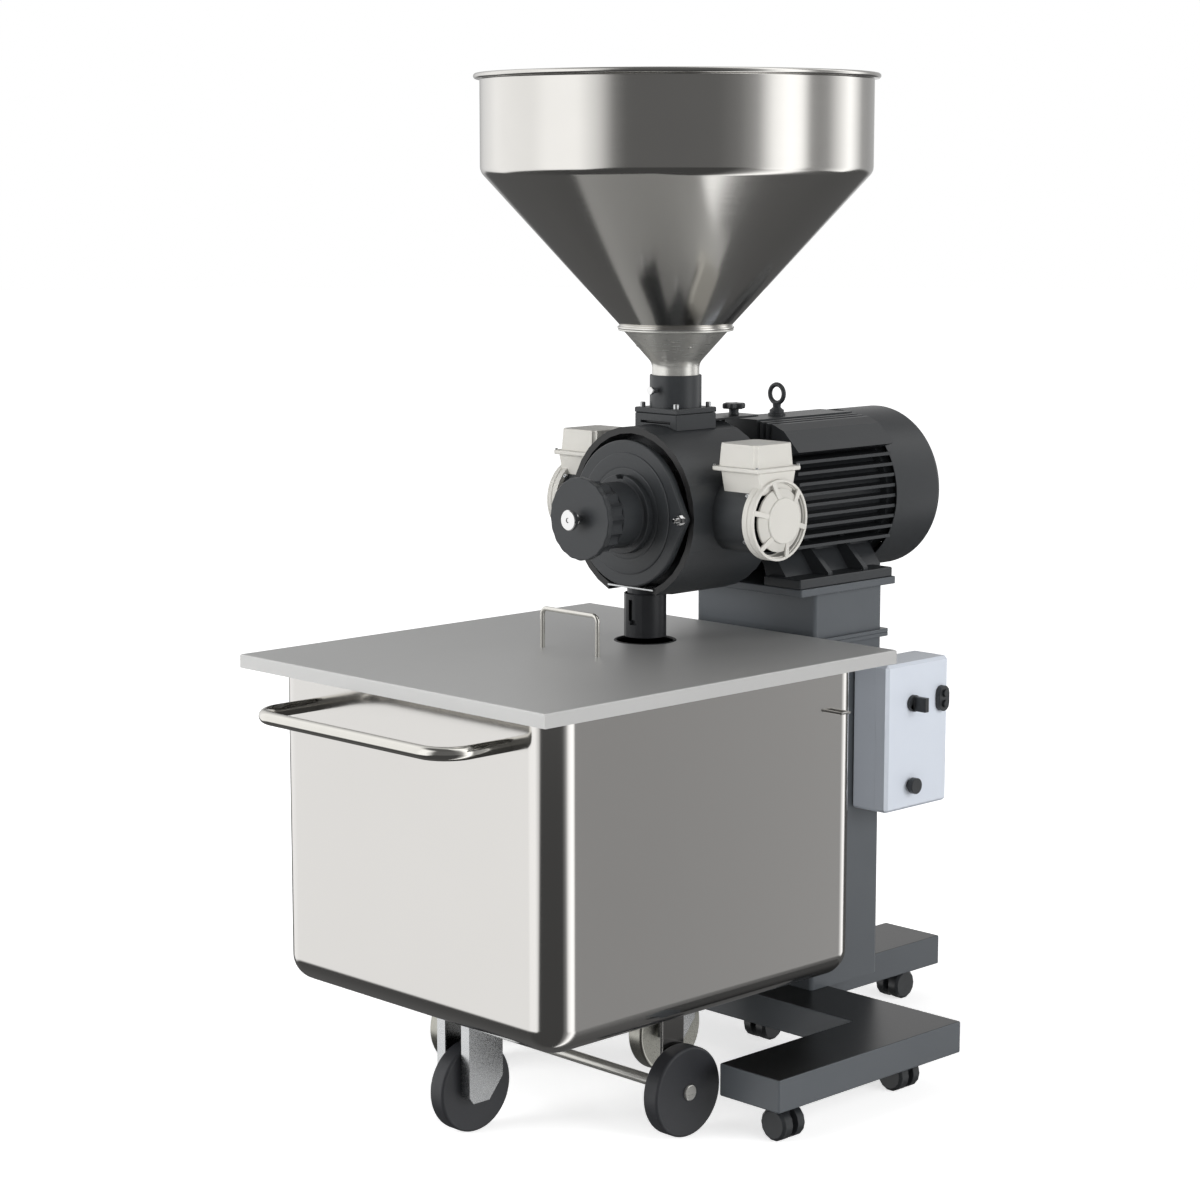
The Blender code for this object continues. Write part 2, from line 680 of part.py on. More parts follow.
# ---------------------------------------------------------------- inlet and hopper
def build_inlet():
    """Gate body on the barrel, the throat above it, the thumb screw, and the gate with its knob."""
    slot_low = GATE_Z - GAP
    slot_high = GATE_Z + GATE_T + GAP
    plate_low = INLET_TOP - INLET_PLATE_T
    y0, y1 = FEED_Y - INLET_S, FEED_Y + INLET_S
    body = add("gate_body", box((-INLET_S, y0, AXIS_Z + 0.112), (INLET_S, y1, plate_low - GAP), 0.001),
               "black_paint")
    cut(body, rod(HOUSE_R + GAP, y0 - 0.05, 0.25, "y", 32, (0, 0, AXIS_Z)))
    cut(body, box((-GATE_W / 2 - GAP, y0 - 0.02, slot_low), (GATE_W / 2 + GAP, y1 + 0.02, slot_high)))
    cut(body, rod(FEED_BORE, AXIS_Z + 0.09, 0.12, "z", 16, (0, FEED_Y, 0)))

    throat = add("inlet_throat", box((-INLET_S, y0, plate_low), (INLET_S, y1, INLET_TOP), 0.001),
                 "black_paint")
    root = INLET_TOP - 0.001
    join(throat, rod(THROAT_R, root, THROAT_TOP - root, "z", 24, (0, FEED_Y, 0)))
    cut(throat, rod(FEED_BORE, plate_low - 0.01, 0.1, "z", 16, (0, FEED_Y, 0)))
    cut(throat, rod(NECK_R + GAP, THROAT_TOP - NECK_IN - GAP, 0.08, "z", 28, (0, FEED_Y, 0)))
    screw_z = THROAT_TOP - 0.022
    cut(throat, rod(0.004 + GAP, FEED_Y - THROAT_R - 0.01, 0.02, "y", 10, (0, 0, screw_z)))
    reach = 0.0145
    out = [(0, -0.006), (0.0065, -0.006), (0.0065, 0.0), (0.004, 0.0), (0.004, reach), (0, reach)]
    screw = turned("throat_screw", out, "zinc", (0, FEED_Y - NECK_R - GAP - reach, screw_z), "y", 12,
                   closed=False)
    baked(screw)

    rear = GATE_REAR_Y
    front = FEED_Y - FEED_BORE - 0.0065
    half = GATE_W / 2
    outline = [(-half, front), (half, front)] + arc((half - 0.012, rear - 0.012), 0.012, 0, 90, 4)
    outline += arc((-half + 0.012, rear - 0.012), 0.012, 90, 180, 4)
    gate = add("gate_plate", plate(outline, GATE_Z, GATE_Z + GATE_T), "black_steel")
    cut(gate, rod(FEED_BORE, GATE_Z - 0.01, 0.03, "z", 16, (0, FEED_Y, 0)))
    cut(gate, rod(0.004 + GAP, GATE_Z - 0.01, 0.03, "z", 16, (0, STAR_Y, 0)))

    under = GATE_Z + GATE_T + GAP
    knob = add("star_knob", plate(scallop(STAR_R, 0.0040, 6), STAR_TOP - 0.009, STAR_TOP), "black_plastic",
               (0, STAR_Y, 0))
    join(knob, rod(0.008, under, STAR_TOP - under - 0.005, "z", 20, (0, STAR_Y, 0)))
    join(knob, rod(0.004, GATE_Z - RUN, 0.02, "z", 12, (0, STAR_Y, 0)))


def build_hopper():
    """Spun bowl with a rolled rim and a ring below, and the funnel whose neck plugs into the throat."""
    wall = SHEET
    bead = 0.008
    cone_in = 0.013
    ring_in = RING_R - 0.012
    bowl = [(HOPPER_RIM_R, HOPPER_TOP), (HOPPER_RIM_R, HOPPER_TOP - bead),
            (HOPPER_R, HOPPER_TOP - bead - 0.001), (HOPPER_R, HOPPER_CONE_Z + 0.010),
            (HOPPER_R - cone_in, HOPPER_CONE_Z - 0.010),
            (RING_R, RING_Z + 0.006), (RING_R, RING_Z), (ring_in, RING_Z), (ring_in, RING_Z + 0.004),
            (HOPPER_R - cone_in - wall, HOPPER_CONE_Z - 0.009), (HOPPER_R - wall, HOPPER_CONE_Z + 0.011),
            (HOPPER_R - wall, HOPPER_TOP)]
    turned("hopper_bowl", bowl, "stainless", (0, FEED_Y, 0), "z", 36)

    top = RING_Z - GAP
    low = THROAT_TOP - NECK_IN
    funnel = [(RING_R - 0.001, top), (RING_R - 0.001, top - 0.003), (ring_in, top - 0.0045),
              (NECK_R, NECK_TOP), (NECK_R, low), (NECK_R - wall, low), (NECK_R - wall, NECK_TOP + 0.001),
              (ring_in - 0.0025, top - 0.003), (ring_in - 0.0025, top)]
    turned("hopper_funnel", funnel, "stainless", (0, FEED_Y, 0), "z", 24)


# ---------------------------------------------------------------- side fans
def build_fans():
    """A fan on each side duct: ring and box, grille, and rotor."""
    for side, name in ((1, "right"), (-1, "left")):
        x0 = side * (DUCT_END_X + GAP)
        x1 = side * (DUCT_END_X + GAP + FAN_RING_T)
        house = add("fan_housing_" + name, rod(FAN_RING_R, x0, x1 - x0, "x", 24, (0, FAN_Y, AXIS_Z)),
                    "warm_grey_plastic")
        low_z = AXIS_Z + DUCT_R * 0.72
        taper = [(FAN_Y - BOX_HALF_Y + 0.010, low_z), (FAN_Y + BOX_HALF_Y - 0.010, low_z),
                 (FAN_Y + BOX_HALF_Y - 0.002, BOX_FLANGE_Z), (FAN_Y - BOX_HALF_Y + 0.002, BOX_FLANGE_Z)]
        lo, hi = sorted((side * (BOX_X0 + 0.006), x1 - side * 0.002))
        join(house, plate(taper, lo, hi, "x"))
        edge = BOX_FLANGE_OUT
        lo, hi = sorted((side * (BOX_X0 - edge + 0.002), side * (BOX_X1 + edge)))
        join(house, box((lo, FAN_Y - BOX_HALF_Y - edge, BOX_FLANGE_Z),
                        (hi, FAN_Y + BOX_HALF_Y + edge, BOX_FLANGE_Z + BOX_FLANGE_T)))
        join(house, fan_box(side))
        cut(house, rod(HOUSE_R + RUN, 0.0, 0.5, "y", 32, (0, 0, AXIS_Z)))
        cut(house, rod(DUCT_R + GAP, side * 0.05, side * (DUCT_END_X + 2 * GAP - 0.05), "x", 20,
                       (0, FAN_Y, AXIS_Z)))
        cut(house, rod(FAN_RING_R - 0.006, side * 0.19, side * 0.1, "x", 24, (0, FAN_Y, AXIS_Z)))
        build_grille(side, name, x1)
        build_fan_rotor(side, name)


def fan_box(side):
    """Tapered terminal box: a box whose top is a little smaller than its foot."""
    lo, hi = sorted((side * BOX_X0, side * BOX_X1))
    bm = box_bm((lo, FAN_Y - BOX_HALF_Y, BOX_FLANGE_Z), (hi, FAN_Y + BOX_HALF_Y, BOX_TOP))
    middle = (lo + hi) / 2
    for vert in bm.verts:
        if vert.co.z > BOX_FLANGE_Z + MM:
            vert.co.x = middle + (vert.co.x - middle) * 0.94
            vert.co.y = FAN_Y + (vert.co.y - FAN_Y) * 0.94
    bmesh.ops.bevel(bm, geom=bm.edges[:], offset=0.003, segments=1, profile=0.5, affect="EDGES")
    return mesh_from(bm)


def build_grille(side, name, x1):
    """Round guard: outer ring, six spokes and a closed hub plate that stands proud."""
    place = (0, FAN_Y, AXIS_Z)
    thick = 0.004
    start = x1 + side * GAP
    bars = 6
    hub_x = start + side * GRILLE_OUT
    grille = add("fan_grille_" + name, rod(FAN_RING_R, start, side * thick, "x", 24, place),
                 "warm_grey_plastic")
    cut(grille, rod(FAN_RING_R - 0.0045, start - side * 0.01, side * 0.05, "x", 24, place))
    points = [(start, FAN_RING_R - 0.002), (start + side * thick, FAN_RING_R - 0.002),
              (hub_x + side * 0.003, 0.030), (hub_x, 0.030)]
    join(grille, rod(0.0345, hub_x - side * 0.001, side * 0.0045, "x", 20, place))
    join(grille, around(plate(points, -0.0035, 0.0035, "y"), bars, "x", 0.25), at=place)


def build_fan_rotor(side, name):
    """Small axial fan on a pin carried by the duct's inner wall."""
    start = DUCT_END_X - 0.020
    place = (0, FAN_Y, AXIS_Z)
    rotor = add("fan_rotor_" + name, rod(0.020, side * start, side * 0.022, "x", 14, place), "black_plastic")
    lo, hi = sorted((side * (start + 0.003), side * (start + 0.018)))
    blade = box((lo, -0.001, 0.015), (hi, 0.001, DUCT_R - 0.006))
    join(rotor, around(blade, 5, "x"), at=place)
    cut(rotor, rod(0.004 + RUN, side * 0.1, side * 0.0975, "x", 10, place))


# ---------------------------------------------------------------- outlet
def build_outlet():
    """Spout under the chamber with its plate, and the sleeve that drops into the bin's lid."""
    tube_low = SLEEVE_BOTTOM + 0.009
    tube_top = BRACKET_Z + BRACKET_T
    outlet = add("outlet_tube", rod(OUTLET_R, tube_low, tube_top - tube_low, "z", 20, (0, OUTLET_Y, 0)),
                 "black_steel")
    join(outlet, rod(PIN_R, OUTLET_Y - OUTLET_R - 0.0075, 0.009, "y", 12, (0, 0, PIN_Z)))
    cut(outlet, rod(OUTLET_R - 0.002, tube_low - 0.01, 0.2, "z", 20, (0, OUTLET_Y, 0)))

    bracket = add("outlet_bracket", box((-BRACKET_HALF_X, OUTLET_Y - BRACKET_HALF_Y, BRACKET_Z),
                                        (BRACKET_HALF_X, OUTLET_Y + BRACKET_HALF_Y, tube_top)), "zinc")
    cut(bracket, rod(OUTLET_R + GAP, BRACKET_Z - 0.01, 0.05, "z", 20, (0, OUTLET_Y, 0)))

    sleeve = turned("outlet_sleeve", ring(SLEEVE_R, SLEEVE_R - SLEEVE_WALL, SLEEVE_BOTTOM, SLEEVE_TOP),
                    "black_steel", (0, OUTLET_Y, 0), "z", 20)
    baked(sleeve)
    slot_top = PIN_Z + DROP + SLOT_W / 2 + RUN
    half = SLOT_W / 2
    cut(sleeve, box((-half, OUTLET_Y - 0.05, PIN_Z - half), (half, OUTLET_Y - 0.02, slot_top)))
    cut(sleeve, box((0, OUTLET_Y - 0.05, PIN_Z - half), (0.012, OUTLET_Y - 0.02, PIN_Z + half)))


# ---------------------------------------------------------------- motor
def motor_outline():
    """Right half of the finned frame's section, from the top centre down to the foot, then mirrored."""
    top = MOTOR_TOP - AXIS_Z
    right = [(0.034, top)]
    slot_floor = CORE_R + 0.006
    slot_w = 0.007
    for i in range(3):
        near = 0.034 + i * 0.012
        far = near + slot_w
        fin_top = top - 0.002 - i * 0.0015
        right += [(x, math.sqrt(slot_floor ** 2 - x ** 2)) for x in (near, far)]
        right += [(far, fin_top), (near + 0.012, fin_top - 0.001)]
    right += [(0.0905, 0.114), (0.122, 0.083), (0.100, 0.076)]
    for i in range(FIN_COUNT):
        z = 0.0665 - i * FIN_PITCH
        tip = math.sqrt(FIN_TIP_R ** 2 - z ** 2 * 0.55)
        root = math.sqrt(CORE_R ** 2 - z ** 2)
        right += [(root, z + FIN_T / 2), (tip, z + FIN_T / 2), (tip, z - FIN_T / 2), (root, z - FIN_T / 2)]
    foot = SEAT_Z + GAP - AXIS_Z
    right += [(0.074, -0.080), (0.098, foot + FOOT_T), (0.098, foot), (0.060, foot), (0.050, -0.094)]
    return right + [(-x, z) for x, z in reversed(right)]


def build_motor():
    """Finned motor body with its flange and feet."""
    outline = [(x, z + AXIS_Z) for x, z in motor_outline()]
    fins_rear = COWL_FRONT_Y - 0.001
    flange_y = HOUSE_REAR_Y + GAP
    place = (0, 0, AXIS_Z)
    motor = add("motor_frame", plate(outline, MOTOR_FRONT_Y, fins_rear, "y"), "black_paint")
    join(motor, rod(END_R, fins_rear - 0.002, MOTOR_REAR_Y - fins_rear + 0.002, "y", 24, place))
    join(motor, rod(0.100, flange_y + 0.005, MOTOR_FRONT_Y - flange_y, "y", 24, place))
    join(motor, rod(MOTOR_FLANGE_R, flange_y, 0.012, "y", 24, place))
    foot = SEAT_Z + GAP
    for side in (-1, 1):
        lo, hi = sorted((side * 0.062, side * FOOT_W / 2))
        join(motor, box((lo, FOOT_FRONT_Y, foot), (hi, FOOT_REAR_Y, foot + FOOT_T), 0.0015))
        rib = [(side * 0.070, foot + 0.075), (side * 0.070, foot + 0.01), (side * 0.130, foot + 0.01),
               (side * 0.130, foot + FOOT_T + 0.004)]
        for y in (FOOT_FRONT_Y + 0.075, FOOT_FRONT_Y + 0.160):
            join(motor, plate(rib, y, y + 0.010, "y"))
    join(motor, rod(0.014, MOTOR_TOP - 0.02, 0.024, "z", 12, (0, EYE_Y, 0)))
    cut(motor, rod(0.006 + GAP, MOTOR_TOP - 0.008, 0.05, "z", 8, (0, EYE_Y, 0)))
    cut(motor, rod(SHAFT_R + RUN, HOUSE_REAR_Y - 0.1, 0.6, "y", 16, (0, 0, AXIS_Z)))
    build_cowl()
    build_eyebolt()
    build_terminal_box()


def build_cowl():
    """Fan cowl: a short drum over the motor's rear end, with air slots in its back."""
    depth = COWL_REAR_Y - COWL_FRONT_Y
    inner = COWL_R - COWL_WALL
    round_off = 0.010
    outline = [(0, depth), (COWL_R - round_off, depth), (COWL_R - 0.003, depth - 0.003),
               (COWL_R, depth - round_off), (COWL_R, 0), (inner, 0), (inner, depth - round_off),
               (inner - 0.008, depth - COWL_WALL), (0, depth - COWL_WALL)]
    cowl = turned("motor_fan_cowl", outline, "black_paint", (0, COWL_FRONT_Y, AXIS_Z), "y", 28, closed=False)
    baked(cowl)
    place = (0, 0, AXIS_Z)
    for row, count in ((0.048, 5), (0.084, 8)):
        slot = box((row - 0.013, COWL_REAR_Y - 0.02, -0.0055), (row + 0.013, COWL_REAR_Y + 0.02, 0.0055))
        cut(cowl, around(slot, count, "y"), at=place)
    lug = box((END_R + GAP, COWL_FRONT_Y + 0.004, -0.006), (inner + 0.001, COWL_FRONT_Y + 0.016, 0.006))
    join(cowl, around(lug, 4, "y", 0.5), at=place)


def build_eyebolt():
    """Lifting eye: an open ring of wire on a short collar."""
    base = MOTOR_TOP + 0.004 + GAP
    centre = EYE_TOP - EYE_R - EYE_WIRE
    outline = arc((EYE_R, 0), EYE_WIRE, 0, -300, 5)
    eye = turned("eyebolt", outline, "black_paint", (0, EYE_Y, centre), "y", 14)
    baked(eye)
    join(eye, rod(0.011, base, 0.006, "z", 12, (0, EYE_Y, 0)))
    join(eye, rod(0.0065, base + 0.005, centre - EYE_R - base - 0.004, "z", 8, (0, EYE_Y, 0)))
    join(eye, rod(0.006, base - 0.010, 0.012, "z", 8, (0, EYE_Y, 0)))


def build_terminal_box():
    """Cable box on the tips of the motor's left fins, with a cable entry in its underside."""
    x1 = -FIN_TIP_R - GAP
    x0 = x1 - 0.046
    y0, y1 = 0.425, 0.535
    case = add("terminal_box", box((x0, y0, AXIS_Z - 0.045), (x1, y1, AXIS_Z + 0.045), 0.004), "black_paint")
    cut(case, rod(0.010, AXIS_Z - 0.06, 0.035, "z", 20, ((x0 + x1) / 2, (y0 + y1) / 2, 0)))


# ---------------------------------------------------------------- controls
def build_controls():
    """Control box beside the column, and its hinged door."""
    wall = CTRL_WALL
    y0, y1, z0, z1 = CTRL_Y0, CTRL_Y1, CTRL_Z0, CTRL_Z1
    over = 0.010
    trim = 0.020
    case = add("control_box", box((CTRL_X0, y0, z0), (CTRL_SPLIT_X + over, y1, z1), 0.004),
               "pale_grey_plastic")
    cut(case, box((CTRL_SPLIT_X, y0 - trim, z0 - trim), (CTRL_SPLIT_X + trim, y1 + trim, z1 + trim)))
    cut(case, box((CTRL_X0 + wall, y0 + wall, z0 + wall), (CTRL_SPLIT_X + 0.01, y1 - wall, z1 - wall)))
    cut(case, rod(0.009, z0 - 0.01, 0.03, "z", 20, (CTRL_X0 + 0.022, (y0 + y1) / 2, 0)))
    barrel_r = 0.005
    hinge_x, hinge_y = door_hinge()

    split = CTRL_SPLIT_X + GAP
    door = add("control_door", box((split - over, y0, z0), (CTRL_X1, y1, z1), 0.005), "pale_grey_plastic")
    cut(door, box((split - trim, y0 - trim, z0 - trim), (split, y1 + trim, z1 + trim)))
    cut(door, box((CTRL_SPLIT_X - 0.01, y0 + wall, z0 + wall), (CTRL_X1 - wall, y1 - wall, z1 - wall)))
    panel_x = CTRL_X1
    for y, z, radius in control_holes():
        cut(door, rod(radius, panel_x - 0.02, 0.04, "x", 12, (0, y, z)))
    knuckle = 0.026
    for i in range(2):
        low = z0 + 0.035 + i * 0.140
        join(door, rod(barrel_r, low, knuckle, "z", 10, (hinge_x, hinge_y, 0)))
        join(door, box((hinge_x + 2 * GAP, hinge_y - 0.011, low),
                       (hinge_x + barrel_r, hinge_y, low + knuckle)))
        own = low - GAP - 0.012
        join(case, rod(barrel_r, own, 0.012, "z", 10, (hinge_x, hinge_y, 0)))
        join(case, box((hinge_x - 0.006, hinge_y - 0.011, own), (hinge_x - 0.0015, hinge_y, own + 0.012)))
    cut(door, rod(0.002 + RUN, z0, 0.25, "z", 8, (hinge_x, hinge_y, 0)))
    for i in range(2):
        low = z0 + 0.035 + i * 0.140
        join(case, rod(0.002, low - 0.002, 0.020, "z", 8, (hinge_x, hinge_y, 0)))
    build_switches(panel_x)


def door_hinge():
    """Axis of the control door's hinge, on the rear edge of the box."""
    return CTRL_SPLIT_X, CTRL_Y1 + 0.0058


def control_holes():
    """Centre (y, z) and hole radius of the switch, the two stacked buttons and the round button."""
    switch = (0.5610, 0.5660, 0.0085)
    start = (0.6310, 0.5740, 0.0060)
    stop = (0.6310, 0.5570, 0.0060)
    reset = (0.5575, 0.4340, 0.0085)
    return [switch, start, stop, reset]


def build_switches(panel_x):
    """Rotary switch, double push button and round button on the door."""
    switch, start, stop, reset = control_holes()
    face = panel_x + GAP
    knob = add("rotary_switch", rod(0.0135, face, 0.007, "x", 16, (0, 0, 0)), "black_plastic",
               (0, switch[0], switch[1]))
    join(knob, box((face + 0.005, -0.0045, -0.0115), (face + 0.030, 0.0045, 0.0115)),
         at=(0, switch[0], switch[1]))
    join(knob, rod(switch[2] - RUN, face - 0.018, 0.020, "x", 12, (0, switch[0], switch[1])))

    bezel_r = 0.0095
    centre_z = (start[1] + stop[1]) / 2
    half = (start[1] - stop[1]) / 2
    outline = arc((start[0], centre_z + half), bezel_r + 0.0030, 0, 180, 6)
    outline += arc((start[0], centre_z - half), bezel_r + 0.0030, 180, 360, 6)
    bezel = add("button_bezel", plate(outline, face, face + 0.009, "x"), "black_plastic")
    for spot in (start, stop):
        cut(bezel, rod(spot[2], face - 0.01, 0.03, "x", 12, (0, spot[0], spot[1])))
    for name, spot in (("start_button", start), ("stop_button", stop)):
        add(name, rod(spot[2] - RUN / 2, face - 0.010, 0.0230, "x", 12, (0, spot[0], spot[1])),
            "black_plastic")
    round_button = add("reset_button", rod(0.0130, face + 0.005, 0.010, "x", 16, (0, reset[0], reset[1])),
                       "black_plastic")
    join(round_button, rod(reset[2] - RUN, face - 0.018, 0.026, "x", 12, (0, reset[0], reset[1])))


# ---------------------------------------------------------------- bin
def rounded_ring(half_x, half_y, radius, z):
    """Points of a rectangle with rounded corners, at one height."""
    corners = ((1, 1, 0), (-1, 1, 90), (-1, -1, 180), (1, -1, 270))
    points = []
    for sx, sy, start in corners:
        centre = (sx * (half_x - radius), sy * (half_y - radius))
        points += [(x, y, z) for x, y in arc(centre, radius, start, start + 90, 4)]
    return points


def loft(rings):
    """A closed skin through rings with equally many points, with a flat cap on both ends."""
    bm = bmesh.new()
    rows = [[bm.verts.new(point) for point in row] for row in rings]
    count = len(rows[0])
    for here, there in zip(rows, rows[1:]):
        for k in range(count):
            bm.faces.new((here[k], here[(k + 1) % count], there[(k + 1) % count], there[k]))
    bm.faces.new(rows[0])
    bm.faces.new(list(reversed(rows[-1])))
    return mesh_from(bm)


def tub_shell():
    """Open sheet tub: rounded upright corners, a rounded foot, and a rim turned outwards."""
    half_x, half_y = TUB_W / 2, TUB_L / 2
    rim_top = LID_TOP - LID_T - GAP
    foot_turns = 4

    def foot_rings(inset, radius):
        rows = []
        for i in range(foot_turns + 1):
            angle = math.pi / 2 * i / foot_turns
            inwards = inset + radius * (1 - math.sin(angle))
            rows.append(rounded_ring(half_x - inwards, half_y - inwards, max(TUB_CORNER - inwards, 0.006),
                                     TUB_BOTTOM + inset + radius * (1 - math.cos(angle))))
        return rows

    outer = foot_rings(0.0, TUB_FOOT_R)
    outer.append(rounded_ring(half_x, half_y, TUB_CORNER, rim_top - TUB_WALL))
    rim_corner = TUB_CORNER + TUB_RIM
    outer += [rounded_ring(half_x + TUB_RIM, half_y + TUB_RIM, rim_corner, z)
              for z in (rim_top - TUB_WALL, rim_top)]
    inner = foot_rings(TUB_WALL, TUB_FOOT_R - TUB_WALL)
    inner.append(rounded_ring(half_x - TUB_WALL, half_y - TUB_WALL, TUB_CORNER - TUB_WALL, rim_top))
    return loft(outer + list(reversed(inner)))


def build_bin():
    """Collecting bin: tub, hook, push handle, lid, axle, wheels and casters."""
    tub = add("bin_tub", tub_shell(), "stainless")
    for y in (-CASTER_Y, CASTER_Y):
        join(tub, box((-0.020, y - 0.022, TUB_BOTTOM - PAD_T), (0.020, y + 0.022, TUB_BOTTOM + 0.001)))
    hanger_x = WHEEL_FACE_X - WHEEL_W - 0.006
    for side in (-1, 1):
        join(tub, box((side * hanger_x - 0.003, -0.022, WHEEL_R - 0.018),
                      (side * hanger_x + 0.003, 0.022, TUB_BOTTOM + 0.001)))
    cut(tub, rod(AXLE_R + GAP, -WHEEL_FACE_X, 2 * WHEEL_FACE_X, "x", 16, (0, 0, WHEEL_R)))
    build_tub_hook(tub)
    face = -TUB_L / 2 - GAP
    path = [(x, face - out, PUSH_Z) for x, out in u_path(PUSH_X, face - PUSH_BAR_Y, PUSH_BEND)]
    wire("push_handle", path, PUSH_R, "stainless", 2)
    build_lid()
    build_bin_wheels()


def build_tub_hook(tub):
    """Small rod hook welded to the right wall near the rear: two pegs and a cross rod."""
    y, z, reach = HOOK_Y, HOOK_Z, 0.020
    for step in (-0.008, 0.008):
        join(tub, rod(HOOK_R, TUB_W / 2 - 0.001, reach, "x", 10, (0, y + step, z)))
    join(tub, rod(HOOK_R, y - 0.0095, 0.019, "y", 10, (TUB_W / 2 + reach - HOOK_R, 0, z)))


def build_lid():
    """Flat lid with a skirt, a hole for the outlet sleeve and a wire handle."""
    half_w, half_l = LID_W / 2, LID_L / 2
    low = LID_TOP - LID_SKIRT
    lid = add("bin_lid", box((-half_w, -half_l, low), (half_w, half_l, LID_TOP), 0.0015), "stainless")
    in_w, in_l = half_w - LID_T, half_l - LID_T
    cut(lid, box((-in_w, -in_l, low - 0.01), (in_w, in_l, LID_TOP - LID_T)))
    cut(lid, rod(LID_HOLE_R, LID_TOP - 0.01, 0.02, "z", 24, (0, OUTLET_Y, 0)))
    path = [(x, 0, LID_TOP - 0.001 + z) for x, z in u_path(LID_HANDLE_W / 2, LID_HANDLE_H + 0.001, 0.008, 3)]
    join(lid, wire("lid_handle_rod", path, LID_ROD_R, "stainless", 1))


def wheel_outline(half, hub_r, radius):
    """Half section of a solid wheel with a chamfered tread."""
    edge = 0.0035
    return [(hub_r, half), (radius - edge, half), (radius, half - edge), (radius, -half + edge),
            (radius - edge, -half), (hub_r, -half)]


def build_bin_wheels():
    """Axle through both hangers with a cap outside each fixed wheel, the wheels, and the casters."""
    centre = WHEEL_FACE_X - WHEEL_W / 2
    cap = 0.004
    outer = WHEEL_FACE_X + RUN
    half = [(0, outer + cap), (0.0115, outer + cap), (0.0115, outer), (AXLE_R, outer)]
    outline = half + [(r, -z) for r, z in reversed(half)]
    baked(turned("bin_axle", outline, "stainless", (0, 0, WHEEL_R), "x", 16, closed=False))
    for side, name, finish in ((1, "right", "wheel_black"), (-1, "left", "wheel_steel")):
        turned("bin_wheel_" + name, wheel_outline(WHEEL_W / 2, AXLE_R + GAP, WHEEL_R), finish,
               (side * centre, 0, WHEEL_R), "x", 24)
    for side, name, finish in ((-1, "front", "wheel_black"), (1, "rear", "wheel_steel")):
        build_bin_caster(side * CASTER_Y, name, finish)


def build_bin_caster(y, name, finish):
    """Swivel caster: a crown plate, two channel legs with a cut-off point, and a solid wheel."""
    top = TUB_BOTTOM - PAD_T - GAP
    crown = top - 0.006
    inner_x = WHEEL_W / 2 + 0.003
    outer_x = inner_x + FORK_DEPTH
    half = FORK_W / 2
    fork = add("bin_caster_fork_" + name, box((-outer_x, y - half, crown), (outer_x, y + half, top)), "zinc")
    low = FORK_BOTTOM
    outline = [(y - half, crown + 0.003), (y - half, low + 0.010), (y - half + 0.008, low),
               (y + 0.006, low), (y + half, low + 0.032), (y + half, crown + 0.003)]
    for side in (-1, 1):
        lo, hi = sorted((side * inner_x, side * outer_x))
        join(fork, plate(outline, lo, hi, "x"))
        lo, hi = sorted((side * (inner_x - 0.001), side * (outer_x - FORK_T)))
        cut(fork, box((lo, y - half + FORK_T, low - 0.01), (hi, y + half - FORK_T, crown)))
    axle_r = 0.006
    join(fork, rod(axle_r, -outer_x, 2 * outer_x, "x", 12, (0, y, WHEEL_R)))
    for side in (-1, 1):
        boss_x = side * (WHEEL_W / 2 + RUN)
        join(fork, rod(0.0105, boss_x, side * (FORK_DEPTH + 0.001), "x", 12, (0, y, WHEEL_R)))
    turned("bin_caster_wheel_" + name, wheel_outline(WHEEL_W / 2, axle_r + GAP, WHEEL_R), finish,
           (0, y, WHEEL_R), "x", 24)


def main():
    """Builds every node in turn."""
    start_scene()
    build_stand()
    build_stand_casters()
    build_housing()
    build_cover()
    build_knobs()
    build_burrs()
    build_shaft()
    build_inlet()
    build_hopper()
    build_fans()
    build_outlet()
    build_motor()
    build_controls()
    build_bin()


main()
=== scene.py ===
"""Disc grinding mill on a wheeled stand, with hopper and roll-in collecting bin: its looks, light and camera.

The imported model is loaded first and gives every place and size. Lengths are metres and +Z is up. Shapes are
worked out in the mill's own coordinates, where x = 0 is the centre plane, y = 0 the middle of the bin's lid
and z = 0 the floor. Each finished mesh is moved once, by SHIFT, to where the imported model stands.
"""

import json
import math

import bmesh
import bpy
import numpy as np
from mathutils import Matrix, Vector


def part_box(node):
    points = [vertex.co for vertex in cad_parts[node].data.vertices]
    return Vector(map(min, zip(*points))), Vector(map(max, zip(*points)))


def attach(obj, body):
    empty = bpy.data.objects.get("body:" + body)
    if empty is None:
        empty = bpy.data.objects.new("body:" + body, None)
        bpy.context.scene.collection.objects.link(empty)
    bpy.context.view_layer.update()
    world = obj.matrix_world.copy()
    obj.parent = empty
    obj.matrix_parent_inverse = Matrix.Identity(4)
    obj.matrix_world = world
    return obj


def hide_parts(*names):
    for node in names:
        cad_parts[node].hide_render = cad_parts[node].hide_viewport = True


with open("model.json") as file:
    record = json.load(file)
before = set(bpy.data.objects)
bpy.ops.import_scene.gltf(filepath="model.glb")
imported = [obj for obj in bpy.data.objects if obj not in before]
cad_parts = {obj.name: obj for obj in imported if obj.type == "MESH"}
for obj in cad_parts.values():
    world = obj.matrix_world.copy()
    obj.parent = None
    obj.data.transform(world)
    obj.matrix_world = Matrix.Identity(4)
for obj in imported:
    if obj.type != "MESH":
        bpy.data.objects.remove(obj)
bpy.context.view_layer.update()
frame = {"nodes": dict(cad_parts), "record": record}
PI = math.pi
BODY_OF = {node: body for body, nodes in frame["record"]["behaviour"]["bodies"].items() for node in nodes}
lid_low, lid_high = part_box("bin_lid")
SHIFT = np.array([0.0, (lid_low.y + lid_high.y) / 2, 0.0])


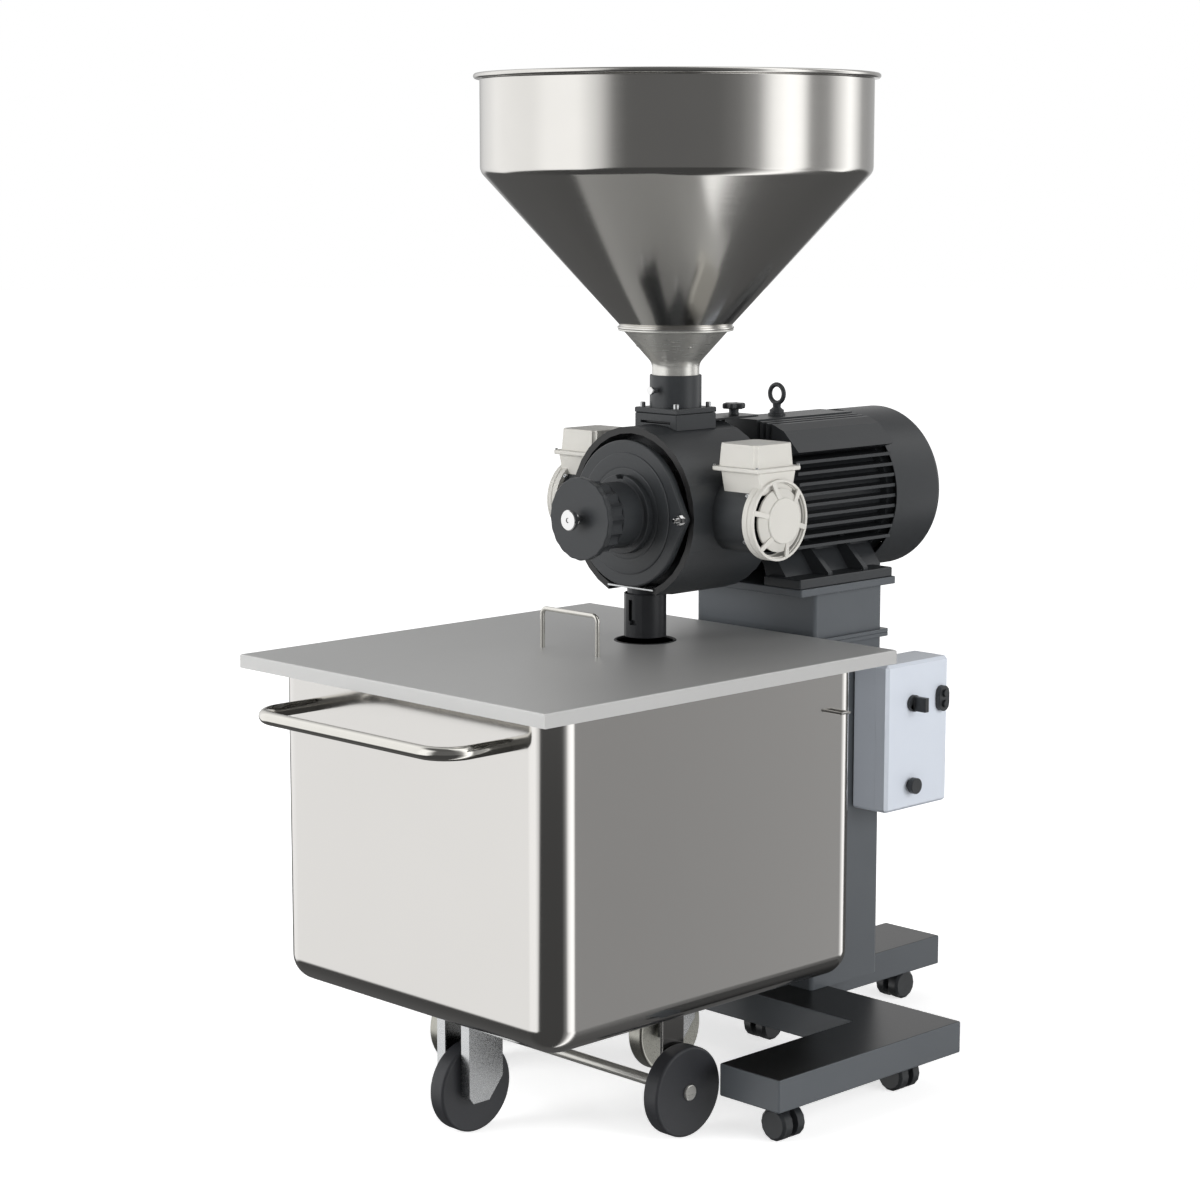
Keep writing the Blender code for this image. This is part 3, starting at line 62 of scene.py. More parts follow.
def extent(node):
    """Lowest and highest corner of a CAD node, in the mill's own coordinates."""
    low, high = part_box(node)
    return np.array(low) - SHIFT, np.array(high) - SHIFT


def middle(node):
    """Middle of a CAD node's box."""
    low, high = extent(node)
    return (low + high) / 2


# ---------------------------------------------------------------- surfaces
def grid(points, around=True, closed=False, caps=(False, False), keep=None):
    """Quads over an array of points [row, place].

    Rows close on themselves when `around` is true, and the last row meets the first when `closed` is.
    A cap is one face over the first or last row. `keep` is a mask of the quads that stay.
    """
    rows, places = points.shape[:2]
    i = np.arange(rows if closed else rows - 1)[:, None]
    j = np.arange(places if around else places - 1)[None, :]
    i2, j2 = (i + 1) % rows, (j + 1) % places
    quads = np.stack([i * places + j, i * places + j2, i2 * places + j2, i2 * places + j], -1)
    quads = quads[keep] if keep is not None else quads.reshape(-1, 4)
    ends = [np.arange(places) + end * (rows - 1) * places for end in (0, 1) if caps[end]]
    return points.reshape(-1, 3), quads, ends


def stand_up(across, up, along, axis):
    """Points from two cross coordinates and one along the named axis."""
    order = {"z": (across, up, along), "y": (across, along, up), "x": (along, across, up)}[axis]
    return np.stack(np.broadcast_arrays(*order), -1)


def lathe(profile, centre=(0, 0, 0), axis="z", sides=96, closed=False, phase=0.0, wave=None):
    """Turned surface: each (radius, along) point of the profile becomes a circle about the axis.

    `wave` is a pair (depth, count) that lowers the radius by depth * (1 - cos(count * angle)) / 2.
    """
    profile = np.asarray(profile, float)
    turn = 2 * PI * np.arange(sides) / sides + phase
    radius = profile[:, :1] + 0 * turn
    if wave:
        radius = radius - (radius > 0) * wave[0] * (0.5 - 0.5 * np.cos(wave[1] * turn))
    points = stand_up(radius * np.cos(turn), radius * np.sin(turn), profile[:, 1:], axis) + np.asarray(centre)
    return grid(points, True, closed)


def fillet(corners, radius, closed=True, steps=5):
    """Polyline whose corners become circular arcs.

    Each arc is the weighted quadratic blend of its two tangent points and its corner, with the sine of half
    the corner's angle as the corner's weight, which is an exact circle. Works in the plane and in space.
    """
    p = np.asarray(corners, float)
    r = np.broadcast_to(np.asarray(radius, float), len(p))
    back, ahead = np.roll(p, 1, 0) - p, np.roll(p, -1, 0) - p
    back_len, ahead_len = np.linalg.norm(back, axis=1), np.linalg.norm(ahead, axis=1)
    back, ahead = back / back_len[:, None], ahead / ahead_len[:, None]
    half = np.arccos(np.clip((back * ahead).sum(1), -1, 1)) / 2
    reach = np.minimum(r / np.tan(np.maximum(half, 1e-3)), 0.48 * np.minimum(back_len, ahead_len))[:, None]
    s = np.linspace(0, 1, steps + 1)[None, :, None]
    start, stop = (p + back * reach)[:, None], (p + ahead * reach)[:, None]
    pull = 2 * s * (1 - s) * np.sin(half)[:, None, None]
    arcs = ((1 - s) ** 2 * start + pull * p[:, None] + s ** 2 * stop) / ((1 - s) ** 2 + pull + s ** 2)
    if not closed:
        arcs[0], arcs[-1] = p[0], p[-1]
    return arcs.reshape(-1, p.shape[1])


def round_rect(half_a, half_b, radius, centre=(0, 0), steps=6):
    """Rectangle with round corners."""
    corners = np.array([(1, 1), (-1, 1), (-1, -1), (1, -1)]) * (half_a, half_b)
    return fillet(corners, radius, steps=steps) + np.asarray(centre)


def circle(radius, count=96, centre=(0, 0), wave=None):
    """Circle, or a lobed circle: the radius falls by depth * (1 - cos(count * angle)) / 2."""
    turn = 2 * PI * np.arange(count) / count
    r = radius - (wave[0] * (0.5 - 0.5 * np.cos(wave[1] * turn)) if wave else 0)
    return np.stack([r * np.cos(turn), r * np.sin(turn)], 1) + np.asarray(centre)


def inset(outline, depth):
    """Closed outline moved inwards: each point goes along the sum of its two edge normals."""
    edge = np.roll(outline, -1, 0) - outline
    edge = edge / np.maximum(np.linalg.norm(edge, axis=1), 1e-12)[:, None]
    normal = np.stack([-edge[:, 1], edge[:, 0]], 1)
    before = np.roll(normal, 1, 0)
    lean = np.maximum(1 + (normal * before).sum(1), 0.35)[:, None]
    return outline + depth * (normal + before) / lean


def tidy_outline(outline):
    """Outline without repeated points, running anticlockwise."""
    outline = np.asarray(outline, float)
    outline = outline[np.linalg.norm(outline - np.roll(outline, 1, 0), axis=1) > 1e-7]
    ahead = np.roll(outline, -1, 0)
    area = (outline[:, 0] * ahead[:, 1] - ahead[:, 0] * outline[:, 1]).sum()
    return outline if area > 0 else outline[::-1]


def slab(outline, low, high, axis="z", edge=0.001, steps=3, hole=None, taper=1.0):
    """Plate: a closed outline carried from low to high along an axis, with quarter rounds on both rims.

    In the rounds the outline moves inwards by edge * (1 - sin t) while it rises by edge * (1 - cos t).
    `taper` is the outline's scale at the top. `hole` is an inner outline with as many points.
    """
    turn = np.linspace(0, PI / 2, steps + 1)
    depth = edge * (1 - np.sin(turn))
    rise = edge * (1 - np.cos(turn))
    depths = np.concatenate([depth, depth[::-1]])
    levels = np.concatenate([low + rise, (high - rise)[::-1]])
    outline = tidy_outline(outline) if hole is None else np.asarray(outline, float)
    centre = (outline.max(0) + outline.min(0)) / 2

    def row(shape, inwards, level):
        scale = 1 + (taper - 1) * (level - low) / (high - low)
        flat = centre + (inset(shape, inwards) - centre) * scale
        return stand_up(flat[:, 0], flat[:, 1], level, axis)

    rows = [row(outline, d, level) for d, level in zip(depths, levels)]
    if hole is None:
        return grid(np.array(rows), caps=(True, True))
    rows += [row(hole, -d, level) for d, level in zip(depths[::-1], levels[::-1])]
    return grid(np.array(rows), closed=True)


def block(low, high, corner=0.002, edge=0.001, axis="z"):
    """Box with round edges along an axis and softly rounded ends."""
    low, high = np.minimum(low, high), np.maximum(low, high)
    a, b, c = {"z": (0, 1, 2), "y": (0, 2, 1), "x": (1, 2, 0)}[axis]
    half = (high - low) / 2
    centre = (high + low) / 2
    return slab(round_rect(half[a], half[b], corner, (centre[a], centre[b])), low[c], high[c], axis, edge)


def tube(path, radius, flat=(0, 0, 1), sides=20):
    """Round rod: circles across a path that lies in the plane whose normal is `flat`."""
    path = np.asarray(path, float)
    path = path[np.append(True, np.linalg.norm(np.diff(path, axis=0), axis=1) > 1e-7)]
    ahead = np.gradient(path, axis=0)
    ahead = ahead / np.linalg.norm(ahead, axis=1)[:, None]
    flat = np.asarray(flat, float)
    side = np.cross(flat, ahead)[:, None]
    turn = (2 * PI * np.arange(sides) / sides)[None, :, None]
    return grid(path[:, None] + radius * (np.cos(turn) * side + np.sin(turn) * flat), caps=(True, True))


def aim(shape, way, at):
    """A shape made round the origin along +Z, turned to point along `way` and moved to `at`."""
    points, quads, ends = shape
    way = np.asarray(way, float) / np.linalg.norm(way)
    other = np.array([1.0, 0, 0]) if abs(way[0]) < 0.9 else np.array([0, 1.0, 0])
    side = np.cross(other, way)
    side /= np.linalg.norm(side)
    return points @ np.array([side, np.cross(way, side), way]) + at, quads, ends


def turned_by(shape, angle, axis="z", centre=(0, 0, 0)):
    """A shape turned by an angle in radians about an axis through a point."""
    points, quads, ends = shape
    a, b = {"z": (0, 1), "y": (2, 0), "x": (1, 2)}[axis]
    matrix = np.eye(3)
    matrix[[a, a, b, b], [a, b, a, b]] = [math.cos(angle), -math.sin(angle), math.sin(angle), math.cos(angle)]
    return (points - centre) @ matrix.T + centre, quads, ends


def hex_head(across, tall, stud=0.0):
    """Washer, hexagon head with a chamfered top and, if asked, a stud end: three turned profiles."""
    r = across / math.sqrt(3)
    washer = lathe([(0, 0), (r * 1.25, 0), (r * 1.25, tall * 0.2), (0, tall * 0.2)], sides=24)
    head = lathe([(0, tall * 0.2), (r, tall * 0.2), (r, tall * 0.88), (r * 0.86, tall), (0, tall)], sides=6)
    shapes = [washer, head]
    if stud:
        shapes.append(lathe([(0, tall), (r * 0.5, tall), (r * 0.5, tall + stud * 0.85),
                             (r * 0.36, tall + stud), (0, tall + stud)], sides=20))
    return gather(*shapes)


def cap_screw(radius, tall):
    """Cylindrical screw head with a sunk middle: one turned profile."""
    rim = radius * 0.14
    return lathe([(0, 0), (radius, 0), (radius, tall - rim), (radius - rim, tall), (radius * 0.52, tall),
                  (radius * 0.5, tall * 0.5), (0, tall * 0.5)], sides=24)


def gather(*shapes):
    """Several shapes as one."""
    starts = np.cumsum([0] + [len(s[0]) for s in shapes])
    points = np.concatenate([s[0] for s in shapes])
    quads = np.concatenate([s[1] + start for s, start in zip(shapes, starts)])
    ends = [end + start for s, start in zip(shapes, starts) for end in s[2]]
    return points, quads, ends


# ---------------------------------------------------------------- pieces
def dress(obj, finish, body, nodes=(), sharp=35, bevel=0.0, shell=0.0):
    """Gives a finished mesh its wall, edges, even shading, finish and body, and hides the CAD nodes it stands
    for.
    """
    mesh = obj.data
    mesh.shade_smooth()
    mesh.set_sharp_from_angle(angle=math.radians(sharp))
    mesh.materials.clear()
    mesh.materials.append(MATERIAL[finish])
    if shell:
        wall = obj.modifiers.new("wall", "SOLIDIFY")
        wall.thickness = shell
        wall.offset = -1
    if bevel:
        edge = obj.modifiers.new("edge", "BEVEL")
        edge.width = bevel
        edge.segments = 2
        edge.limit_method = "ANGLE"
        edge.angle_limit = math.radians(sharp)
    even = obj.modifiers.new("even shading", "WEIGHTED_NORMAL")
    even.keep_sharp = True
    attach(obj, body)
    if nodes:
        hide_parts(*nodes)
    return obj


def piece(name, finish, shapes, nodes=(), body=None, **how):
    """A new piece from one or more shapes: doubles are merged, faces turned outwards, then it is dressed."""
    points, quads, ends = gather(*shapes)
    mesh = bpy.data.meshes.new(name)
    mesh.from_pydata((points + SHIFT).tolist(), [], quads.tolist() + [end.tolist() for end in ends])
    settle(mesh)
    obj = bpy.data.objects.new(name, mesh)
    bpy.context.scene.collection.objects.link(obj)
    nodes = [nodes] if isinstance(nodes, str) else list(nodes)
    return dress(obj, finish, body or BODY_OF[nodes[0]], nodes, **how)


def settle(mesh, flats=False):
    """Merges a mesh's doubles and turns its faces outwards. `flats` also joins triangles in one plane."""
    bm = bmesh.new()
    bm.from_mesh(mesh)
    bmesh.ops.remove_doubles(bm, verts=bm.verts, dist=2e-6)
    if flats:
        bmesh.ops.dissolve_limit(bm, angle_limit=math.radians(0.5), verts=bm.verts, edges=bm.edges)
    bmesh.ops.recalc_face_normals(bm, faces=bm.faces)
    bm.to_mesh(mesh)
    bm.free()


def from_cad(node, finish, bevel=0.0008, sharp=32):
    """A CAD node's shape with its edges softened: a merged copy whose flat faces are whole again."""
    mesh = frame["nodes"][node].data.copy()
    mesh.name = node + "_soft"
    settle(mesh, flats=True)
    obj = bpy.data.objects.new(node + "_soft", mesh)
    bpy.context.scene.collection.objects.link(obj)
    return dress(obj, finish, BODY_OF[node], [node], sharp=sharp, bevel=bevel)


def paint_shade_on_faces(obj, name, axis, sign, level, depth):
    """Painted shade: a second material, near black where it is used, for the faces that look along an axis and
    lie within `depth` of a level on it.
    """
    mesh = obj.data
    mesh.materials.append(MATERIAL[name])
    way, centre = np.zeros((2, len(mesh.polygons) * 3))
    mesh.polygons.foreach_get("normal", way)
    mesh.polygons.foreach_get("center", centre)
    away = np.abs(centre.reshape(-1, 3)[:, axis] - SHIFT[axis] - level)
    part = (way.reshape(-1, 3)[:, axis] * sign > 0.9) & (away < depth)
    mesh.polygons.foreach_set("material_index", part.astype(np.int32))


# ---------------------------------------------------------------- materials
MATERIAL = {}
MM = 0.001


def linear(code):
    """Linear colour of an sRGB hex value."""
    parts = np.array([int(code[i:i + 2], 16) for i in (0, 2, 4)]) / 255
    parts = np.where(parts <= 0.04045, parts / 12.92, ((parts + 0.055) / 1.055) ** 2.4)
    return (*parts.tolist(), 1.0)


def put(tree, kind, inputs=None, **settings):
    """Adds a node with its settings. An input takes a value, or another node's output as a link."""
    node = tree.nodes.new(kind)
    for key, value in settings.items():
        setattr(node, key, value)
    for key, value in (inputs or {}).items():
        if isinstance(value, bpy.types.NodeSocket):
            tree.links.new(value, node.inputs[key])
        else:
            node.inputs[key].default_value = value
    return node


def finish(name, slot, colour, second, patch=30.0, grain=(1.0, 1.0, 1.0), rough=(0.3, 0.4), bump=0.02,
           detail=3.0, **surface):
    """One finish: a slow cloud between two close colours, and a fine grain that moves roughness and height.

    `patch` is the cloud's size and `grain` the grain's size along x, y and z, in millimetres; `bump` is the
    grain's height in millimetres. What is the same all over goes straight on the shader's own sockets.
    """
    mat = bpy.data.materials.new(name)
    mat.use_nodes = True
    tree = mat.node_tree
    shader = tree.nodes["Principled BSDF"]
    for key, value in surface.items():
        shader.inputs[key.replace("_", " ")].default_value = value
    place = put(tree, "ShaderNodeTexCoord").outputs["Object"]
    cloud = put(tree, "ShaderNodeTexNoise", {"Vector": place, "Scale": 1000 / patch, "Detail": 2.0})
    mix = put(tree, "ShaderNodeMix", {0: cloud.outputs["Fac"], 6: linear(colour), 7: linear(second)},
              data_type="RGBA")
    tree.links.new(mix.outputs[2], shader.inputs["Base Color"])
    sized = put(tree, "ShaderNodeMapping", {"Vector": place, "Scale": tuple(1000 / size for size in grain)})
    fine = put(tree, "ShaderNodeTexNoise", {"Vector": sized.outputs[0], "Scale": 1.0, "Detail": detail})
    spread = put(tree, "ShaderNodeMapRange",
                 {0: fine.outputs["Fac"], 1: 0.3, 2: 0.7, 3: rough[0], 4: rough[1]})
    tree.links.new(spread.outputs[0], shader.inputs["Roughness"])
    height = put(tree, "ShaderNodeBump", {"Height": fine.outputs["Fac"], "Strength": 1.0,
                                          "Distance": bump * MM})
    tree.links.new(height.outputs[0], shader.inputs["Normal"])
    MATERIAL[name] = mat


# Cast iron and aluminium with a satin powder coat: an even dark surface with a faint orange peel.
finish("satin_powder_coated_casting", "black_paint", "2a2c2e", "2e3032", 60, (1.6, 1.6, 1.6),
       (0.34, 0.42), 0.008, Specular_IOR_Level=0.45)
# Folded and welded steel box section, sprayed dark grey: flat panels with soft broad reflections.
finish("sprayed_steel_section", "dark_paint", "4b4f53", "52565a", 120, (2.0, 2.0, 2.0), (0.30, 0.40), 0.010)
# Painted shade: a near-black gloss that shows almost only what it reflects, on the top side of the stand, for
# the shade of tops that get no light from above, and on the housing's front face round the cover, for the
# shade in the gap between them.
finish("near_black_painted_shade", "dark_paint", "0a0a0a", "0d0d0e", 240, (3.0, 3.0, 3.0), (0.30, 0.32), 0.0001)
# Blackened steel tube and sheet: drawn along its length, with a slight metallic sheen.
finish("blackened_drawn_steel", "black_steel", "1d1e1f", "26272a", 25, (0.8, 0.8, 9.0), (0.28, 0.38), 0.004,
       Metallic=0.35)
# Spun stainless sheet: fine rings left by the spinning roller, polished, with clear upright reflections.
finish("spun_stainless_sheet", "stainless", "d1cfcb", "d6d4d0", 80, (60.0, 60.0, 0.7), (0.12, 0.17), 0.001,
       Metallic=1.0)
# Pressed stainless sheet with a polished 2B finish: calm, wide reflections and almost no grain.
finish("pressed_stainless_sheet", "stainless", "cfcdca", "d2d0cd", 250, (14.0, 14.0, 0.8),
       (0.11, 0.13), 0.0003, Metallic=1.0)
# Brushed stainless sheet of the lid: the brush lines run along its length and blur what it mirrors.
finish("brushed_stainless_lid", "stainless", "c4c4c3", "c9c9c8", 240, (0.5, 40.0, 2.0), (0.42, 0.46), 0.0003,
       Metallic=0.72)
# Satin stainless of the small funnel and the axle: turned and left with a rougher skin, so streaks are soft.
finish("satin_turned_stainless", "stainless", "cfcec9", "d6d5d0", 30, (30.0, 30.0, 0.8), (0.26, 0.36), 0.002,
       Metallic=0.8)
# Polished stainless rod and tube.
finish("polished_stainless_rod", "stainless", "d6d4ce", "dddbd5", 30, (1.0, 1.0, 1.0), (0.09, 0.14), 0.001,
       Metallic=1.0)
# Zinc-plated sheet and screws: bright, slightly cloudy where the plating's crystals differ.
finish("zinc_plated_steel", "zinc", "c4c6c8", "d2d3d3", 9, (1.2, 1.2, 1.2), (0.20, 0.32), 0.004, Metallic=1.0)
# Chromed turned steel: mirror bright.
finish("chromed_turned_steel", "chrome", "e2e2e2", "e8e8e8", 20, (0.6, 0.6, 0.6), (0.05, 0.09), 0.0,
       Metallic=1.0)
# Machined cast steel of the burrs and the shaft: dull grey with tool marks.
finish("machined_cast_steel", "cast_steel", "8a8a88", "9c9b98", 8, (1.0, 0.3, 1.0), (0.35, 0.5), 0.01,
       Metallic=1.0)
# Warm grey ABS, injection moulded with a fine spark-eroded texture: matt with a soft edge sheen.
finish("moulded_warm_grey_abs", "warm_grey_plastic", "c6c4be", "cbc9c3", 50, (0.7, 0.7, 0.7),
       (0.38, 0.48), 0.004)
# Cool pale grey polycarbonate enclosure: moulded, satin, slightly bluish.
finish("moulded_pale_polycarbonate", "pale_grey_plastic", "c9cfd9", "ced4dd", 70, (0.8, 0.8, 0.8),
       (0.30, 0.40), 0.004)
# Black nylon and ABS mouldings: satin, faintly rough.
finish("moulded_black_nylon", "black_plastic", "222426", "2a2c2e", 20, (0.8, 0.8, 0.8), (0.30, 0.44), 0.006)
# Solid elastic polyurethane wheels: smooth, dull, dark blue-grey.
finish("cast_polyurethane_wheel", "wheel_black", "26272a", "2c2d30", 30, (1.2, 1.2, 1.2), (0.40, 0.52), 0.006)
# Bare turned steel wheels.
finish("turned_steel_wheel", "wheel_steel", "a5a49c", "b2b1a9", 15, (1.0, 1.0, 1.0), (0.24, 0.36), 0.004,
       Metallic=1.0)
# Black edging rubber: dull and dark.
finish("edging_rubber", None, "161718", "1e1f20", 10, (0.9, 0.9, 0.9), (0.5, 0.62), 0.01)


# ---------------------------------------------------------------- measures read from the model
AXIS = middle("lock_knob") * (0, 0, 1)                 # a point on the shaft's axis
FEED = middle("hopper_bowl") * (1, 1, 0)               # a point on the hopper's axis
FAN = {side: middle("fan_grille_" + side) * (0, 1, 1) for side in ("right", "left")}
SIGN = {"right": 1, "left": -1}


def hopper():
    """Bowl and funnel: closed turned profiles of thin sheet, with a rolled rim and a clamping ring."""
    low, high = extent("hopper_bowl")
    top, rim = high[2], (high[0] - low[0]) / 2
    sheet, wall, ring = 0.0015, rim - 0.0095, 0.089
    bend = 1.3994
    foot = low[2]
    bowl = [(wall - sheet, top - 0.0004), (rim, top), (rim, top - 0.0084), (wall, top - 0.0086), (wall, bend),
            (0.0852, foot + 0.0045), (ring, foot + 0.0028), (ring, foot), (0.077, foot),
            (0.077, foot + 0.0015), (0.0838, foot + 0.0030), (wall - sheet, bend + 0.0006)]
    radii = [0.003, 0.0042, 0.0042, 0.002, 0.020, 0.003, 0.001, 0.001, 0.0005, 0.0005, 0.001, 0.0185]
    piece("hopper_bowl_spun", "spun_stainless_sheet",
          [lathe(fillet(bowl, radii, steps=8), FEED, sides=240, closed=True)], "hopper_bowl")
    low, high = extent("hopper_funnel")
    neck, top = 0.0362, high[2]
    corner = top - 0.0527
    funnel = [(0.088, top), (0.088, top - 0.003), (0.0795, top - 0.004), (neck, corner), (neck, low[2]),
              (neck - sheet, low[2]), (neck - sheet, corner + 0.0008), (0.0768, top - 0.0025), (0.0768, top)]
    radii = [0.0008, 0.001, 0.002, 0.020, 0.0005, 0.0005, 0.0195, 0.002, 0.0003]
    shapes = [lathe(fillet(funnel, radii, steps=8), FEED, sides=144, closed=True)]
    slope = np.array([0.0487, -0.0433]) / math.hypot(0.0487, 0.0433)
    stud = lathe([(0, -0.001), (0.0026, -0.001), (0.0026, 0.0004), (0.0018, 0.0012), (0, 0.0015)], sides=20)
    for angle in np.radians([-50, 65, 185]):
        out = np.array([math.sin(angle), -math.cos(angle), 0])
        at = FEED + out * 0.0590 + (0, 0, 1.1370)
        shapes.append(aim(stud, out * slope[0] + (0, 0, slope[1]), at))
    piece("hopper_funnel_spun", "satin_turned_stainless", shapes, "hopper_funnel")


def inlet():
    """Square flange with the throat, its four screws, the thumb screw, the gate and its star knob."""
    low, high = extent("inlet_throat")
    half = (high[0] - low[0]) / 2
    plate_top = 1.0443
    bore, neck, outer, top = 0.030, 0.0365, 0.0397, high[2]
    shoulder = top - 0.0303
    tube_wall = [(outer, plate_top - 0.001), (outer, top), (neck, top), (neck, shoulder), (bore, shoulder),
                 (bore, plate_top - 0.001)]
    throat = lathe(fillet(tube_wall, [0.0001, 0.0015, 0.0008, 0.0005, 0.0005, 0.0001]), FEED, sides=96,
                   closed=True)
    piece("inlet_throat_cast", "satin_powder_coated_casting",
          [throat, plate_ring(half, bore, low[2], plate_top)], "inlet_throat")
    spots = [(x, y) for x in (-0.0355, 0.0355) for y in (-0.0355, 0.0355)]
    screws = [aim(cap_screw(0.0043, 0.0075), (0, 0, 1), FEED + (x, y, plate_top)) for x, y in spots]
    piece("inlet_flange_screws", "zinc_plated_steel", screws, body="stand")
    low, high = extent("throat_screw")
    out = high[1] - low[1]
    head = [(0, 0), (0.0062, 0), (0.0065, 0.0008), (0.0065, 0.0052), (0.0058, 0.006), (0.004, 0.006),
            (0.004, out), (0, out)]
    piece("throat_thumb_screw", "chromed_turned_steel",
          [lathe(head, (0, low[1], middle("throat_screw")[2]), "y", 48, wave=(0.0004, 16))], "throat_screw",
          sharp=50)
    from_cad("gate_body", "satin_powder_coated_casting", 0.0012)
    from_cad("gate_plate", "blackened_drawn_steel", 0.0005)
    low, high = extent("star_knob")
    spot = (low + high) / 2 * (1, 1, 0)
    top, under = high[2], 1.0248
    lobes = slab(circle(0.0185, 144, spot[:2], (0.0042, 6)), top - 0.009, top, edge=0.0028, steps=5)
    stem = [(0, low[2]), (0.004, low[2]), (0.004, under), (0.0085, under), (0.0075, under + 0.004),
            (0.0080, top - 0.008), (0, top - 0.008)]
    piece("star_knob_moulded", "moulded_black_nylon", [lobes, lathe(stem, spot, sides=48)], "star_knob")


def plate_ring(half, bore, low, high):
    """Square plate with a round bore: each point of the square lies on a ray through one of the circle."""
    turn = 2 * PI * np.arange(160) / 160 + PI / 4
    ray = np.stack([np.cos(turn), np.sin(turn)], 1)
    square = ray * (half / np.abs(ray).max(1))[:, None]
    soft = 0.0012
    rows = [(square * (1 - soft / half), low), (square, low + soft), (square, high - soft),
            (square * (1 - soft / half), high), (ray * bore, high), (ray * bore, low)]
    points = [stand_up(flat[:, 0], flat[:, 1], level, "z") + FEED for flat, level in rows]
    return grid(np.array(points), closed=True)


def grinder():
    """Housing, cover with its raised disc, collar and hub, the fluted knob and the chromed centre knob."""
    housing = from_cad("grinder_housing", "satin_powder_coated_casting", 0.0014)
    # Painted shade: the housing's front faces round the cover take the near-black gloss, standing for the
    # shade in the gap between cover and housing.
    paint_shade_on_faces(housing, "near_black_painted_shade", 1, -1, extent("front_cover")[1][1], 0.012)
    low, high = extent("front_cover")
    back, face = high[1], high[1] - 0.012
    lug, radius, tip = high[0], 0.1115, 0.007
    reach = lug - tip
    opening = math.acos((radius - tip) / reach)
    sweep = np.linspace(-opening, opening, 9)
    top_arc = np.linspace(opening, PI - opening, 60)
    half_outline = np.concatenate([
        np.stack([reach + tip * np.cos(sweep), tip * np.sin(sweep)], 1),
        np.stack([radius * np.cos(top_arc), radius * np.sin(top_arc)], 1)])
    outline = np.concatenate([half_outline, -half_outline]) + (0, AXIS[2])
    cover = slab(outline, face, back, "y", 0.0030, 4)
    disc = [(0, face + 0.001), (0.0925, face + 0.001), (0.0925, face - 0.0012), (0.0905, face - 0.0025),
            (0.0720, face - 0.0025), (0.0705, face - 0.0015), (0.0685, face - 0.0015),
            (0.0670, face - 0.0025), (0, face - 0.0025)]
    notch = circle(0.060, 180, (0, 0))
    angle = np.arctan2(notch[:, 1], notch[:, 0])
    notch = np.where((np.abs(angle - PI / 2) < math.radians(6))[:, None], notch * 0.90, notch) + (0, AXIS[2])
    collar = slab(notch, face - 0.013, face, "y", 0.0015)
    hub = [(0, low[1]), (0.0488, low[1]), (0.050, low[1] + 0.0012), (0.050, face - 0.0145),
           (0.0525, face - 0.012), (0, face - 0.012)]
    piece("front_cover_cast", "satin_powder_coated_casting",
          [cover, lathe(disc, AXIS, "y", 160), collar, lathe(hub, AXIS, "y", 128)], "front_cover")
    studs = [aim(hex_head(0.0125, 0.009, 0.008), (0, -1, 0), AXIS + (side * (reach - 0.0015), face, 0))
             for side in (-1, 1)]
    piece("cover_studs", "chromed_turned_steel", studs, body="stand", sharp=25)

    low, high = extent("adjusting_knob")
    front = low[1]
    disc = slab(circle(0.0626, 400, (0, AXIS[2]), (0.0009, 20)), front, front + 0.0105, "y", 0.0022, 4)
    turn = 2 * PI * np.arange(480) / 480
    flute = 0.054 - 0.0052 * np.abs(np.sin(8 * turn)) ** 0.8
    ring_outline = np.stack([flute * np.cos(turn), flute * np.sin(turn) + AXIS[2]], 1)
    ring = slab(ring_outline, front + 0.0095, 0.063, "y", 0.0012, 3)
    stem = [(0, 0.062), (0.010, 0.062), (0.010, high[1]), (0, high[1])]
    piece("adjusting_knob_moulded", "satin_powder_coated_casting", [disc, ring, lathe(stem, AXIS, "y", 32)],
          "adjusting_knob")
    low, high = extent("lock_knob")
    pin = [(0, front + 0.016), (0.0045, front + 0.016), (0.0045, front), (0.0080, front),
           (0.0078, front - 0.006), (0.0055, front - 0.008), (0.0050, low[1] + 0.011),
           (0.0075, low[1] + 0.0075), (0.0155, low[1] + 0.0068), (0.0155, low[1] + 0.0012),
           (0.0143, low[1]), (0.0040, low[1]), (0.0030, low[1] + 0.0015), (0, low[1] + 0.0015)]
    piece("lock_knob_turned", "chromed_turned_steel", [lathe(pin, AXIS, "y", 96)], "lock_knob")


